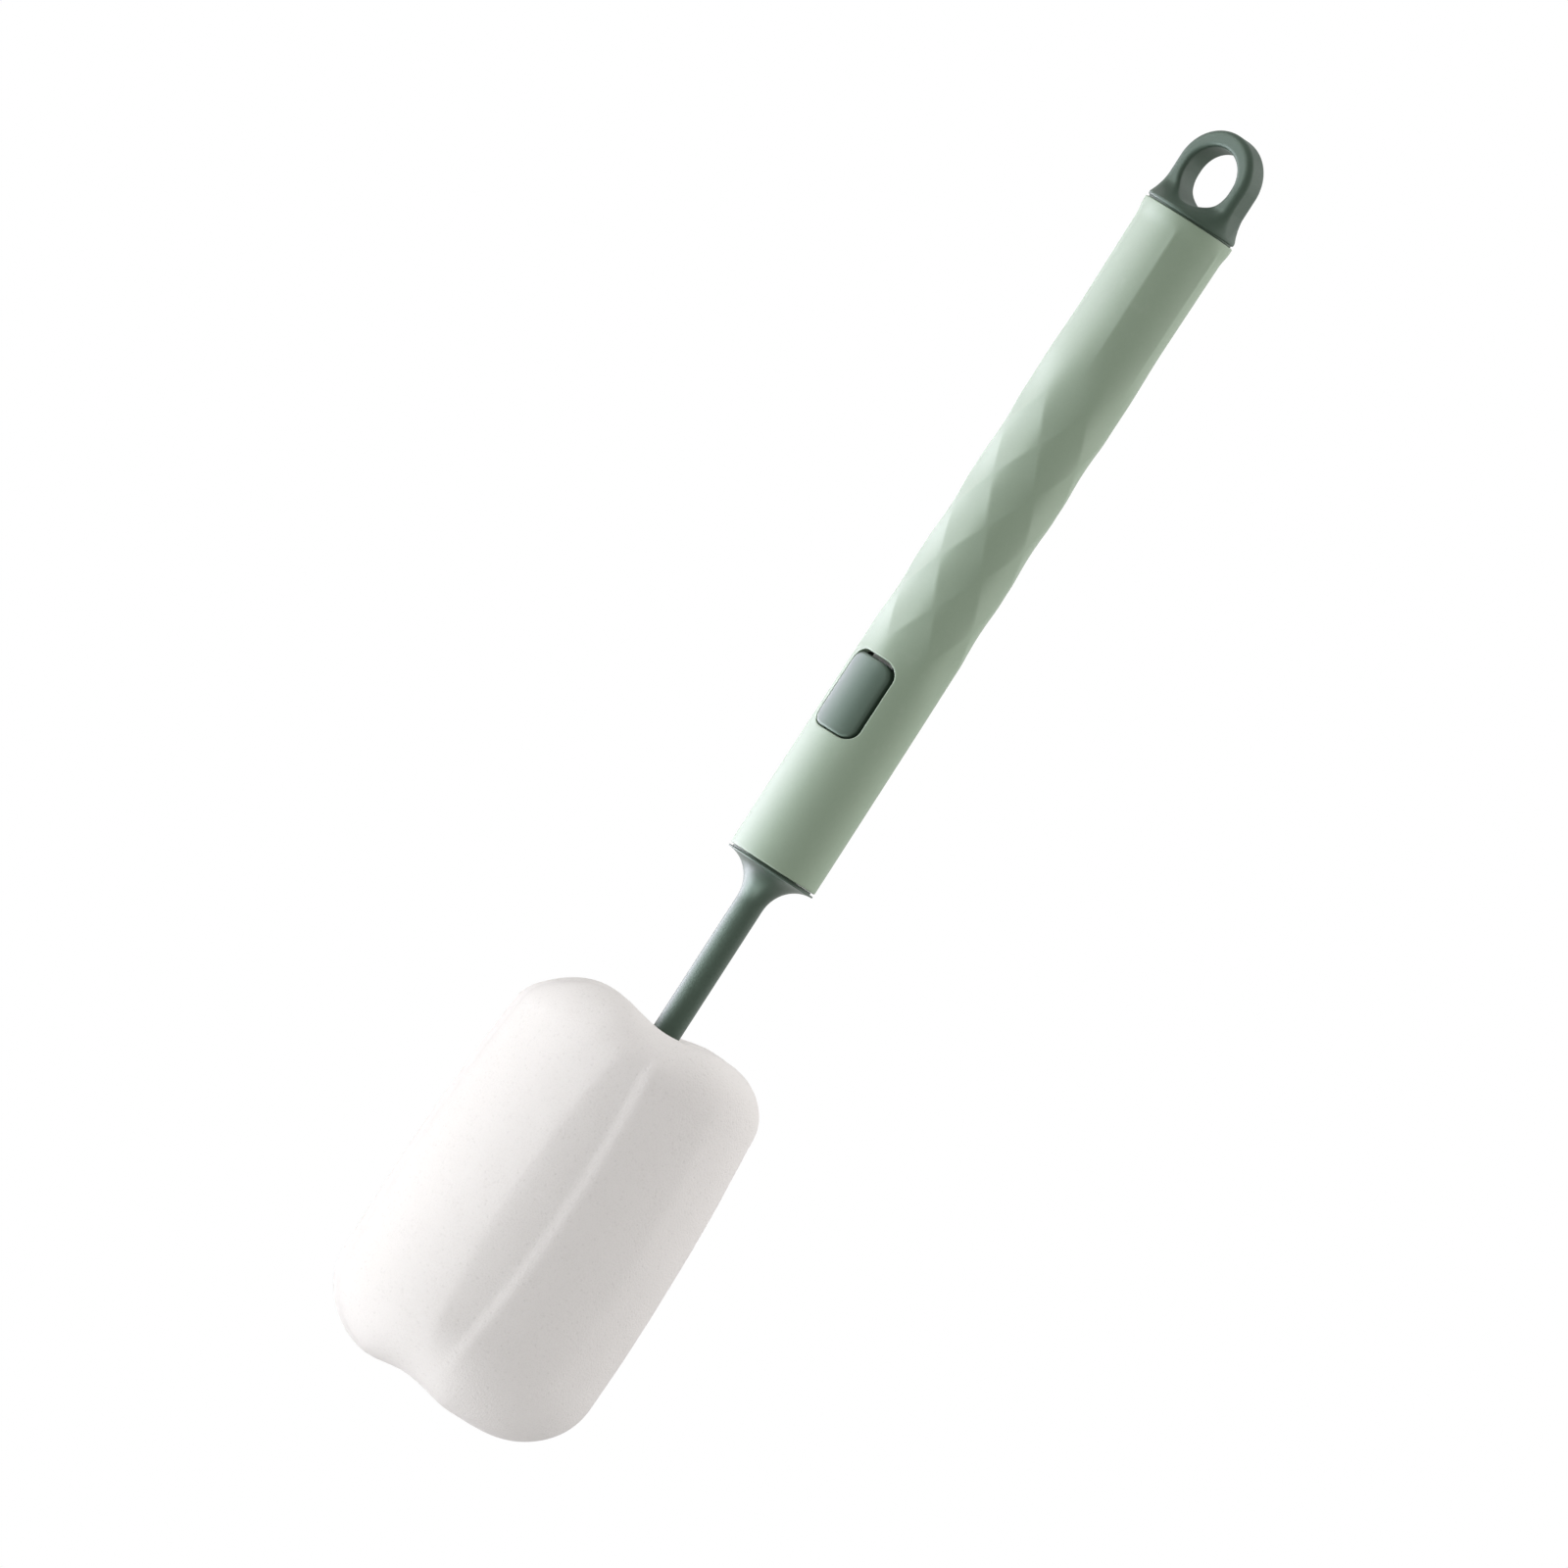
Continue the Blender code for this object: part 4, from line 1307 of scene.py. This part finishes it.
@dataclass
class HangingLoop:
    """The dark green cap: skirt in the tube, round rim, waisted neck and a loop with soft edges."""

    levels: Levels
    line: TubeLine
    height: float = 0.0203
    width: float = 0.0188
    thickness: float = 0.0066
    edge: float = 0.0015
    side_wall: float = 0.0030
    top_wall: float = 0.0038
    floor: float = 0.00285
    mouth: float = 0.0009
    rim: float = 0.0008
    rim_inset: float = 0.0002
    rim_edge: float = 0.00025
    lift: float = 0.0001
    flare: float = 0.0050
    side_power: float = 1.35
    front_power: float = 2.3
    pitch: float = 0.00017
    margin: float = 0.001
    skin_level: float = 0.01
    skirt_length: float = 0.0120
    skirt_wall: float = 0.0016
    skirt_steps: int = 96
    skirt_overlap: float = 0.0004
    shoulder_inset: float = 0.0006
    shoulder_gap: float = 0.00006
    corner_steps: int = 4
    evening_rounds: int = 6
    sharp: float = 62.0

    def build(self, finish: Material) -> Object:
        """Builds the loop and neck as one soft solid, and the rim and skirt as a turned one.

        Args:
            finish: The dark green finish.

        Returns:
            The piece.
        """
        levels = self.levels
        tree = ShapeTree("loop_body")
        edge, mouth, band, flare, cap, top, rim = tree.sizes(
            self,
            "edge",
            "mouth",
            "rim",
            "flare",
            cap_height=levels.top + levels.clearance + self.lift,
            loop_top=levels.top + self.height,
            rim_radius=self.line.top_radius - self.rim_inset,
        )
        outer, half_depth, hole, hole_low, hole_high = tree.sizes(
            self,
            outer_radius=self.width / 2,
            half_thickness=self.thickness / 2,
            hole_radius=self.width / 2 - self.side_wall,
            hole_foot=levels.top + self.floor,
            hole_top=levels.top + self.height - self.top_wall,
        )
        x, y, z = tree.position()
        plate = (x.size() - outer).most(length(x, (z - (top - outer)).most(0.0)) - outer)
        loop = plate.soft_most(y.size() - half_depth, edge)
        share = 1.0 - ((z - cap - band) / flare).held()
        forwards = share.power(self.front_power)
        corner = edge.towards(rim, forwards)
        over_x = x.size() - outer.towards(rim, share.power(self.side_power)) + corner
        over_y = y.size() - half_depth.towards(rim, forwards) + corner
        neck = length(over_x.most(0.0), over_y.most(0.0)) + over_x.most(over_y).least(0.0) - corner
        neck = neck.most(z - (cap + band + flare))
        middle = cap + band * 0.5
        disc = (length(x, y) - rim).soft_most((z - middle).size() - band * 0.5, self.rim_edge)
        body = loop.least(neck).most(middle - z).least(disc)
        tunnel = length(x, z - z.held(hole_low + hole, hole_high - hole)) - hole
        body = body.soft_most(tunnel * -1.0, mouth)
        reach, low = self.line.top_radius + self.margin, levels.top - self.margin
        side = int(2 * reach / self.pitch)
        cube = tree.node(
            "GeometryNodeVolumeCube",
            Density=self.skin_level - body,
            Background=0.0,
            Min=(-reach, -reach, low),
            Max=(reach, reach, levels.top + self.height + self.margin),
            Resolution_X=side,
            Resolution_Y=side,
            Resolution_Z=int((self.height + 2 * self.margin) / self.pitch),
        )
        skin = tree.node("GeometryNodeVolumeToMesh", Volume=cube.outputs[0], Threshold=self.skin_level)
        rough = tree.finish(skin.outputs[0], "loop_cap", finish)
        even = rough.modifiers.new("Even", "SMOOTH")
        even.factor, even.iterations = 0.5, self.evening_rounds
        piece = settled(rough, "loop_cap")
        merge_solids(piece, self.skirt(finish))
        return shaded(piece, self.sharp)

    def skirt(self, finish: Material) -> Object:
        """The ribbed skirt that plugs the tube, and the shoulder under the cap.

        Args:
            finish: The dark green finish.

        Returns:
            The skirt, as an object to join.
        """
        top, gap = self.levels.top, self.levels.clearance
        cap, low = top + gap, top - self.skirt_length
        outer, shoulder = self.line.bore - gap, self.line.top_radius - self.shoulder_inset
        hollow, rib = outer - self.skirt_wall, outer + gap / 2
        high, foot = cap + self.skirt_overlap, top + self.shoulder_gap
        profile = [
            (0.0, high, 0.0),
            (shoulder, high, 0.0),
            (shoulder, foot, 0.00008),
            (outer, foot, 0.0),
            (outer, low + 0.0030, 0.0003),
            (rib, low + 0.0025, 0.0002),
            (rib, low + 0.0020, 0.0002),
            (outer, low + 0.0010, 0.0003),
            (outer - 0.0008, low, 0.0003),
            (hollow, low, 0.0003),
            (hollow, cap - 0.0008, 0.0004),
            (0.0, cap - 0.0008, 0.0),
        ]
        return turned("loop_skirt", rounded(profile, self.corner_steps), self.skirt_steps, finish)


@dataclass
class Stem:
    """The dark green stem: grooved plug, keyed root, flared collar, slim neck and barbed anchor."""

    levels: Levels
    line: TubeLine
    radius: float = 0.0035
    neck: float = 0.00305
    rim: float = 0.0006
    land_inset: float = 0.0008
    land_rise: float = 0.00024
    land_drop: float = 0.0002
    flare: float = 0.0078
    flare_steps: int = 32
    steps: int = 128
    plug_top: float = 0.17615
    plug_tip: float = 0.0012
    tip_inset: float = 0.0006
    groove_radius: float = 0.00255
    groove_half: float = 0.00115
    seal_height: float = 0.1364
    seal_radius: float = 0.0026
    seal_half: float = 0.00075
    groove_edge: float = 0.00012
    key_flats: float = 0.0100
    key_height: float = 0.0050
    anchor_end: float = 0.0110
    anchor_radius: float = 0.0029
    barb_radius: float = 0.0046
    barb_length: float = 0.0055
    barbs: int = 5
    corner_steps: int = 3

    def section(self) -> Outline:
        """The stem's section from the plug's tip to the anchor's end.

        Returns:
            Its (radius, height) points.
        """
        joint, wide, soft = self.levels.joint, self.line.end_radius, self.groove_edge
        points = [(0.0, self.plug_top, 0.0), (self.radius - self.tip_inset, self.plug_top, 0.0004)]
        points.append((self.radius, self.plug_top - self.plug_tip, 0.0004))
        latch = (self.levels.lock, self.groove_half, self.groove_radius)
        for middle, half, floor in (latch, (self.seal_height, self.seal_half, self.seal_radius)):
            points += [(self.radius, middle + half, soft), (floor, middle + half, soft)]
            points += [(floor, middle - half, soft), (self.radius, middle - half, soft)]
        land, step = wide - self.land_inset, joint - self.land_drop
        points += [(self.radius, joint + self.land_rise, 0.0), (land, joint + self.land_rise, 0.00008)]
        points += [(land, step, 0.0001), (wide, step, 0.0002), (wide, joint - self.rim, 0.0002)]
        for i in range(1, self.flare_steps + 1):
            angle = math.pi / 2 * i / self.flare_steps
            out, down = (wide - self.neck) * (1 - math.sin(angle)), self.flare * (1 - math.cos(angle))
            points.append((self.neck + out, joint - self.rim - down, 0.0))
        anchor_top = self.levels.sponge - self.barb_length
        run = (anchor_top - self.anchor_end) / self.barbs
        points.append((self.neck, anchor_top, 0.0))
        for i in range(self.barbs):
            shoulder = anchor_top - run * (i + 1) + self.barb_length
            points += [(self.anchor_radius, z, 0.0001) for z in (anchor_top - run * i, shoulder)]
            points.append((self.barb_radius, shoulder, 0.0002))
        points += [(self.anchor_radius, self.anchor_end, 0.0003), (0.0, self.anchor_end, 0.0)]
        return rounded(points, self.corner_steps)

    def build(self, finish: Material) -> Object:
        """Turns the stem and joins the six-sided key at its root.

        Args:
            finish: The dark green finish.

        Returns:
            The piece.
        """
        stem = turned("stem_moulding", self.section(), self.steps, finish)
        joint, radius = self.levels.joint, self.key_flats / 2 / math.cos(math.pi / 6)
        turns = [math.pi / 6 + math.pi / 3 * i for i in range(6)]
        corners = [(radius * math.cos(turn), radius * math.sin(turn)) for turn in turns]
        merge_solids(stem, prisms("stem_key", [(corners, joint - self.rim / 2, joint + self.key_height)]))
        return shaded(stem)


@dataclass(frozen=True)
class Crease:
    """One upright crease in the foam: a valley with a gentle and a steep side, and a soft ridge beside it."""

    angle: float
    lean: float
    depth: float
    gentle: float
    steep: float
    ridge: float
    ridge_off: float
    ridge_width: float
    bow: float = 0.0


@dataclass(frozen=True)
class Fold:
    """A soft upright fold on a lobe: how far round it lies, its bow, its height, slopes and rounding."""

    arc: float
    bow: float
    height: float
    left: float
    right: float
    rounding: float
    middle: float = 0.042

    def rise(self, arc: np.ndarray, height: np.ndarray) -> np.ndarray:
        """How far the foam stands out by the fold.

        Args:
            arc: Each point's way round from the front crease.
            height: Its height.

        Returns:
            The rise at each point.
        """
        off = arc - self.arc - self.bow * (height - self.middle) ** 2
        far = np.sqrt(off**2 + self.rounding**2) - self.rounding
        share = np.clip(1 - far / np.where(off < 0, self.left, self.right), 0.0, 1.0)
        return self.height * share**1.5


def smooth(share: np.ndarray) -> np.ndarray:
    """Eases shares from 0 to 1, and holds them there outside."""
    share = np.clip(share, 0.0, 1.0)
    return share * share * (3 - 2 * share)


@dataclass
class FoamHead:
    """The white foam head: a soft barrel that creases part into four lobes."""

    levels: Levels
    radius: float = 0.0304
    widest_share: float = 0.375
    taper: float = 0.28
    top_corner: float = 0.0125
    top_flat: float = 0.0175
    top_low: float = 0.0004
    top_power: float = 1.85
    top_dip: float = 0.0019
    end_corner: float = 0.0170
    end_flat: float = 0.0140
    end_power: float = 2.1
    end_notch: float = 0.0018
    notch_aside: float = 0.0050
    groove_half: float = 0.0120
    aside: tuple[float, float] = (-0.00101, -0.00073)
    bore: float = 0.00335
    bore_edge: float = 0.0003
    pocket: float = 0.0049
    pocket_end: float = 0.0107
    barb_length: float = 0.0055
    turn: float = math.radians(-47.1)
    waviness: float = 0.00016
    swell_scales: tuple[float, float] = (55.0, 140.0)
    swell_core: float = 0.004
    sharp: float = 50.0
    columns: int = 288
    corner_rows: int = 29
    top_rows: int = 24
    side_rows: int = 100
    end_rows: int = 34
    creases: tuple[Crease, ...] = (
        Crease(-3.0, -0.080, 0.00045, 0.0074, 0.0019, 0.00016, 0.0030, 0.0018, bow=0.50),
        Crease(90.0, 0.040, 0.00075, 0.0046, 0.0026, 0.00025, 0.0045, 0.0034),
        Crease(180.0, -0.030, 0.00065, 0.0024, 0.0050, 0.00030, -0.0042, 0.0034),
        Crease(270.0, 0.045, 0.00075, 0.0028, 0.0048, 0.00025, -0.0046, 0.0036),
    )
    folds: tuple[Fold, ...] = (
        Fold(-0.0112, 1.9, 0.00034, 0.0060, 0.0090, 0.0003),
        Fold(0.0199, -1.4, 0.00030, 0.0060, 0.0050, 0.0008),
        Fold(-0.0330, 1.0, 0.00020, 0.0080, 0.0080, 0.0020),
        Fold(0.0610, -1.0, 0.00022, 0.0070, 0.0090, 0.0015),
    )

    def side_radius(self, height: np.ndarray) -> np.ndarray:
        """The barrel's radius at each height."""
        off = height / self.levels.sponge - self.widest_share
        return self.radius * (1 - self.taper * off**2)

    def section(self) -> np.ndarray:
        """The foam's section: up the bore, over the top, down the side and across the end.

        Returns:
            Its (radius, height) points.
        """
        high = self.levels.sponge - self.top_low

        def corner(flat: float, height: float, depth: float, power: float) -> Outline:
            """A soft corner from the flat to the side, as (radius, depth) points.

            Args:
                flat: The radius where the flat ends.
                height: The height where the side starts.
                depth: How deep the corner is.
                power: How square it is: 2 is round.

            Returns:
                The corner's points, from the flat to the side.
            """
            side = self.side_radius(np.array(height))
            turns = np.linspace(0.0, math.pi / 2, self.corner_rows)
            bends = [(math.sin(turn), max(math.cos(turn), 0.0)) for turn in turns]
            power = 2 / power
            return [(flat + (side - flat) * out**power, depth * (1 - down**power)) for out, down in bends]

        top = corner(self.top_flat, high - self.top_corner, self.top_corner, self.top_power)
        end = corner(self.end_flat, self.end_corner, self.end_corner, self.end_power)
        pocket_top = self.levels.sponge - self.barb_length + self.bore_edge
        rim = self.bore + self.bore_edge
        points = [(0.0, self.pocket_end), (self.pocket, self.pocket_end), (self.pocket, pocket_top)]
        points += [(self.bore, pocket_top), (self.bore, high - self.bore_edge), (rim, high)]
        flat = np.linspace(self.bore + 2 * self.bore_edge, self.top_flat, self.top_rows)
        points += [(r, high) for r in flat[:-1]]
        points += [(r, high - down) for r, down in top]
        heights = np.linspace(high - self.top_corner, self.end_corner, self.side_rows)[1:-1]
        points += [(float(self.side_radius(z)), float(z)) for z in heights]
        points += end[::-1]
        points += [(r, 0.0) for r in np.linspace(self.end_flat, 0.0, self.end_rows)[1:]]
        return np.array(points)

    def build(self, finish: Material) -> Object:
        """Builds the foam as one closed form, and presses the creases into it.

        Args:
            finish: The foam finish.

        Returns:
            The piece.
        """
        section, count = self.section(), self.columns
        radius, height = section[1:-1, 0], section[1:-1, 1]
        turn, radius_grid = np.meshgrid(np.linspace(0.0, 2 * math.pi, count, endpoint=False), radius)
        sides = self.pressed(turn, radius_grid, np.repeat(height[:, None], count, axis=1))
        end = self.pressed(*np.zeros((3, 1)))
        points = np.concatenate([sides, [(0.0, 0.0, section[0, 1])], end])
        first, last = len(sides), len(sides) - count
        pairs = [(j, (j + 1) % count) for j in range(count)]
        rows = range(0, last, count)
        faces = [(i + j, i + count + j, i + count + k, i + k) for i in rows for j, k in pairs]
        for j, k in pairs:
            faces += [(first, j, k), (first + 1, last + k, last + j)]
        mesh = bpy.data.meshes.new("foam_head")
        mesh.from_pydata(points.tolist(), [], faces)
        mesh.materials.append(finish)
        return shaded(placed("foam_head", mesh), self.sharp)

    def pressed(self, turn: np.ndarray, radius: np.ndarray, height: np.ndarray) -> np.ndarray:
        """Moves the points of the plain barrel where the creases, lobes and soft swells put them.

        Args:
            turn: Each point's angle from the front crease.
            radius: Its radius.
            height: Its height.

        Returns:
            A row of x, y and z for each point.
        """
        high = self.levels.sponge - self.top_low
        in_bore = (radius < self.pocket + self.bore_edge) & (height < high - self.bore_edge - 0.0001)
        outside = ~(in_bore & (height > 0))
        above = height > high * self.widest_share
        upper = smooth((height - high + self.top_corner) / self.top_corner)
        lower = smooth((self.end_corner - height) / self.end_corner)
        shift, drop = np.zeros_like(radius), np.zeros_like(radius)
        for crease in self.creases:
            down = 0.5 - height / high
            off = turn - math.radians(crease.angle) - (crease.lean * down - crease.bow * down**2)
            off = (off + math.pi) % (2 * math.pi) - math.pi
            arc = off * self.radius
            width = np.where(arc < 0, crease.gentle, crease.steep)
            shift -= crease.depth * np.exp(-((arc / width) ** 2))
            shift += crease.ridge * np.exp(-(((arc - crease.ridge_off) / crease.ridge_width) ** 2))
            to_side = self.notch_aside * math.cos(math.radians(crease.angle)) * ~above
            line = radius * np.sin(off) + to_side
            ahead = np.clip(np.cos(off) * 3 + 0.5, 0, 1)
            groove = np.clip(1 - (line / self.groove_half) ** 2, 0, None) ** 2 * ahead
            drop = np.maximum(drop, groove)
        round_way = ((turn + math.pi) % (2 * math.pi) - math.pi) * self.radius
        for fold in self.folds:
            shift += fold.rise(round_way, height)
        moved = radius + shift * (1 - np.where(above, upper, lower)) * outside
        sunk = np.where(above, self.top_dip * drop * upper, -self.end_notch * drop * lower)
        level = height - sunk * outside
        angle = turn + self.turn
        loose = smooth((radius - self.pocket) / (self.radius / 2 - self.pocket)) * outside * (1 - upper)
        x = moved * np.cos(angle) + self.aside[0] * loose
        y = moved * np.sin(angle) + self.aside[1] * loose
        spots = [Vector(spot) for spot in zip(x.ravel(), y.ravel(), level.ravel())]
        slow, quick = ([noise.noise(spot * scale) for spot in spots] for scale in self.swell_scales)
        swell = (np.array(slow) + 0.5 * np.array(quick)).reshape(x.shape) * self.waviness * outside
        scale = 1 + swell / np.maximum(moved, self.swell_core)
        return np.stack([(x * scale).ravel(), (y * scale).ravel(), level.ravel()], axis=1)


@dataclass
class LockWorks:
    """The lock inside the handle's foot: its guide, wire clip and seal keep the CAD's own shapes."""

    finishes: Finishes

    def dress(self) -> None:
        """Gives the carried-over nodes their finishes."""
        coats = {
            # The housing's near-black is partly its own colour and partly painted shade for the gaps round
            # the foot.
            "lock_housing": self.finishes.lock_dark_and_seam_shade,
            "latch_clip": self.finishes.steel,
            "seal_ring": self.finishes.rubber,
        }
        for node, material in coats.items():
            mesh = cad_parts[node].data
            mesh.materials.clear()
            mesh.materials.append(material)
            LOG.info("%s: dressed in %s", node, material.name)


class Reach(Enum):
    """What a lamp's light shows in: everything, only gloss, or only matt surfaces."""

    ALL = "all"
    GLOSS = "gloss"
    MATT = "matt"


@dataclass(frozen=True)
class Lamp:
    """A soft square lamp, placed by its angle from the camera, its distance and its height."""

    name: str
    turn: float
    distance: float
    height: float
    size: float
    power: float
    colour: Colour
    reach: Reach = Reach.ALL


@dataclass
class Studio:
    """The pale floor, the soft light and the camera at the photograph's angle."""

    azimuth: float = math.radians(36)
    roll: tuple[float, float] = (0.84032, 0.54210)
    width: float = 0.320
    distance: float = 8.0
    sensor: float = 36.0
    centre_height: float = 0.1444
    centre_side: float = -0.00734
    floor_height: float = -0.90
    floor_reach: float = 9.0
    floor_glow: float = 0.55
    ambient: float = 0.57
    ambient_colour: Colour = (1.0, 0.978, 0.95)
    lamps: tuple[Lamp, ...] = (
        Lamp("key", -78.0, 0.68, -0.21, 0.42, 2.7, (0.98, 0.99, 1.0)),
        Lamp("front", -45.0, 1.10, -0.36, 0.90, 2.7, (0.98, 0.99, 1.0)),
        Lamp("fill", 111.0, 0.86, 0.66, 0.80, 1.2, (1.0, 0.99, 0.97)),
        Lamp("right_edge", 145.0, 0.94, 0.49, 0.80, 1.7, (1.0, 0.99, 0.98), Reach.MATT),
        Lamp("grip_fill", 95.0, 0.26, 0.24, 0.22, 0.34, (1.0, 0.98, 0.97), Reach.MATT),
        Lamp("overhead", -88.0, 0.75, 1.05, 0.80, 4.2, (1.0, 0.99, 0.99), Reach.MATT),
        Lamp("sweep", 60.0, 0.15, -0.55, 0.40, 0.5, (1.0, 0.99, 0.99), Reach.MATT),
        Lamp("left_gloss", -112.0, 0.72, -0.20, 1.00, 33.5, (0.90, 0.85, 1.0), Reach.GLOSS),
        Lamp("front_gloss", -70.0, 0.78, -0.29, 0.90, 17.0, (0.82, 0.89, 1.0), Reach.GLOSS),
        Lamp("right_gloss", 108.0, 0.85, 0.67, 1.00, 5.6, (1.0, 0.94, 1.0), Reach.GLOSS),
        Lamp("loop_gloss", -76.0, 0.50, 0.46, 0.40, 4.2, (0.95, 0.95, 1.0), Reach.GLOSS),
        Lamp("collar_gloss", -14.0, 0.30, -0.22, 0.30, 2.4, (0.92, 0.97, 1.0), Reach.GLOSS),
    )

    def build(self) -> None:
        """Sets up the camera, the world, the floor and the lamps."""
        back = Vector((math.sin(self.azimuth), -math.cos(self.azimuth), 0))
        self.add_camera(back)
        self.add_world()
        self.add_floor()
        for lamp in self.lamps:
            self.add_lamp(lamp, back)
        bpy.context.scene.view_settings.view_transform = "Standard"

    def add_camera(self, back: Vector) -> None:
        """Puts the camera level with the brush, rolled so that the brush leans across the frame.

        Args:
            back: The way from the brush to the camera.
        """
        right = Vector((math.cos(self.azimuth), math.sin(self.azimuth), 0))
        up = Vector((0, 0, 1))
        level, lift = self.roll
        target = up * self.centre_height + right * self.centre_side
        camera = bpy.data.cameras.new("camera")
        camera.sensor_width = self.sensor
        camera.lens = self.sensor * self.distance / self.width
        camera.clip_end = 50
        holder = placed("camera", camera)
        turn = Matrix((right * level + up * lift, up * level - right * lift, back)).transposed().to_4x4()
        holder.matrix_world = Matrix.Translation(target + back * self.distance) @ turn
        bpy.context.scene.camera = holder

    def add_world(self) -> None:
        """White where it is seen, softer where it lights."""
        world = bpy.data.worlds.new("studio")
        bpy.context.scene.world = world
        world.use_nodes = True
        tree = Tree(world.node_tree)
        seen = tree.seen_rays()
        tone = tree.blend(self.ambient_colour, (1.0, 1.0, 1.0), seen)
        strength = seen * (1.0 - self.ambient) + self.ambient
        tree.fill(world.node_tree.nodes["Background"], Strength=strength, Color=tone)

    def add_floor(self) -> None:
        """Lays a pale floor far under the brush."""
        reach = self.floor_reach
        mesh = bpy.data.meshes.new("floor")
        corners = [(-reach, -reach), (reach, -reach), (reach, reach), (-reach, reach)]
        mesh.from_pydata([(x, y, self.floor_height) for x, y in corners], [], [(0, 1, 2, 3)])
        paint = Paint("pale_floor")
        paint.fill(
            paint.shader,
            Base_Color=(0.8, 0.8, 0.8, 1.0),
            Roughness=1.0,
            Specular_IOR_Level=0.0,
            Emission_Color=(1.0, 1.0, 1.0, 1.0),
            Emission_Strength=paint.seen_rays() * self.floor_glow,
        )
        mesh.materials.append(paint.material)
        placed("floor", mesh)

    def add_lamp(self, lamp: Lamp, back: Vector) -> None:
        """Hangs a soft lamp that faces the brush's middle.

        Args:
            lamp: The lamp.
            back: The way from the brush to the camera.
        """
        way = Matrix.Rotation(math.radians(lamp.turn), 3, "Z") @ back
        place = way * lamp.distance + Vector((0, 0, lamp.height))
        light = bpy.data.lights.new(lamp.name, "AREA")
        light.shape = "SQUARE"
        light.size, light.energy, light.color = lamp.size, lamp.power, lamp.colour
        holder = placed(lamp.name, light)
        holder.visible_camera = False
        holder.visible_diffuse = lamp.reach is not Reach.GLOSS
        holder.visible_glossy = lamp.reach is not Reach.MATT
        aim = Vector((0, 0, self.centre_height)) - place
        holder.matrix_world = Matrix.Translation(place) @ aim.to_track_quat("-Z", "Y").to_matrix().to_4x4()


def main() -> None:
    """Builds the brush piece by piece and hands each to the frame."""
    logging.basicConfig(level=logging.INFO, format="%(name)s %(message)s")
    finishes, levels, line = Finishes(), Levels(), TubeLine()
    Studio().build()
    handle = Handle(levels, line).build(finishes.light_green)
    carried(handle, Body.HANDLE, "light_green_plastic", "handle_shell")
    button = ReleaseButton(levels, line).build(finishes.dark_green)
    carried(button, Body.BUTTON, "dark_green_plastic", "release_button")
    # The loop wears the duller copy of the dark green, whose lighter base colour is painted light.
    loop = HangingLoop(levels, line).build(finishes.dull_green)
    carried(loop, Body.HANDLE, "dark_green_plastic", "hanging_loop")
    stem = Stem(levels, line).build(finishes.dark_green)
    carried(stem, Body.HEAD, "dark_green_plastic", "stem")
    foam = FoamHead(levels).build(finishes.foam)
    carried(foam, Body.HEAD, "white_foam", "sponge")
    LockWorks(finishes).dress()


if __name__ == "__main__":
    main()
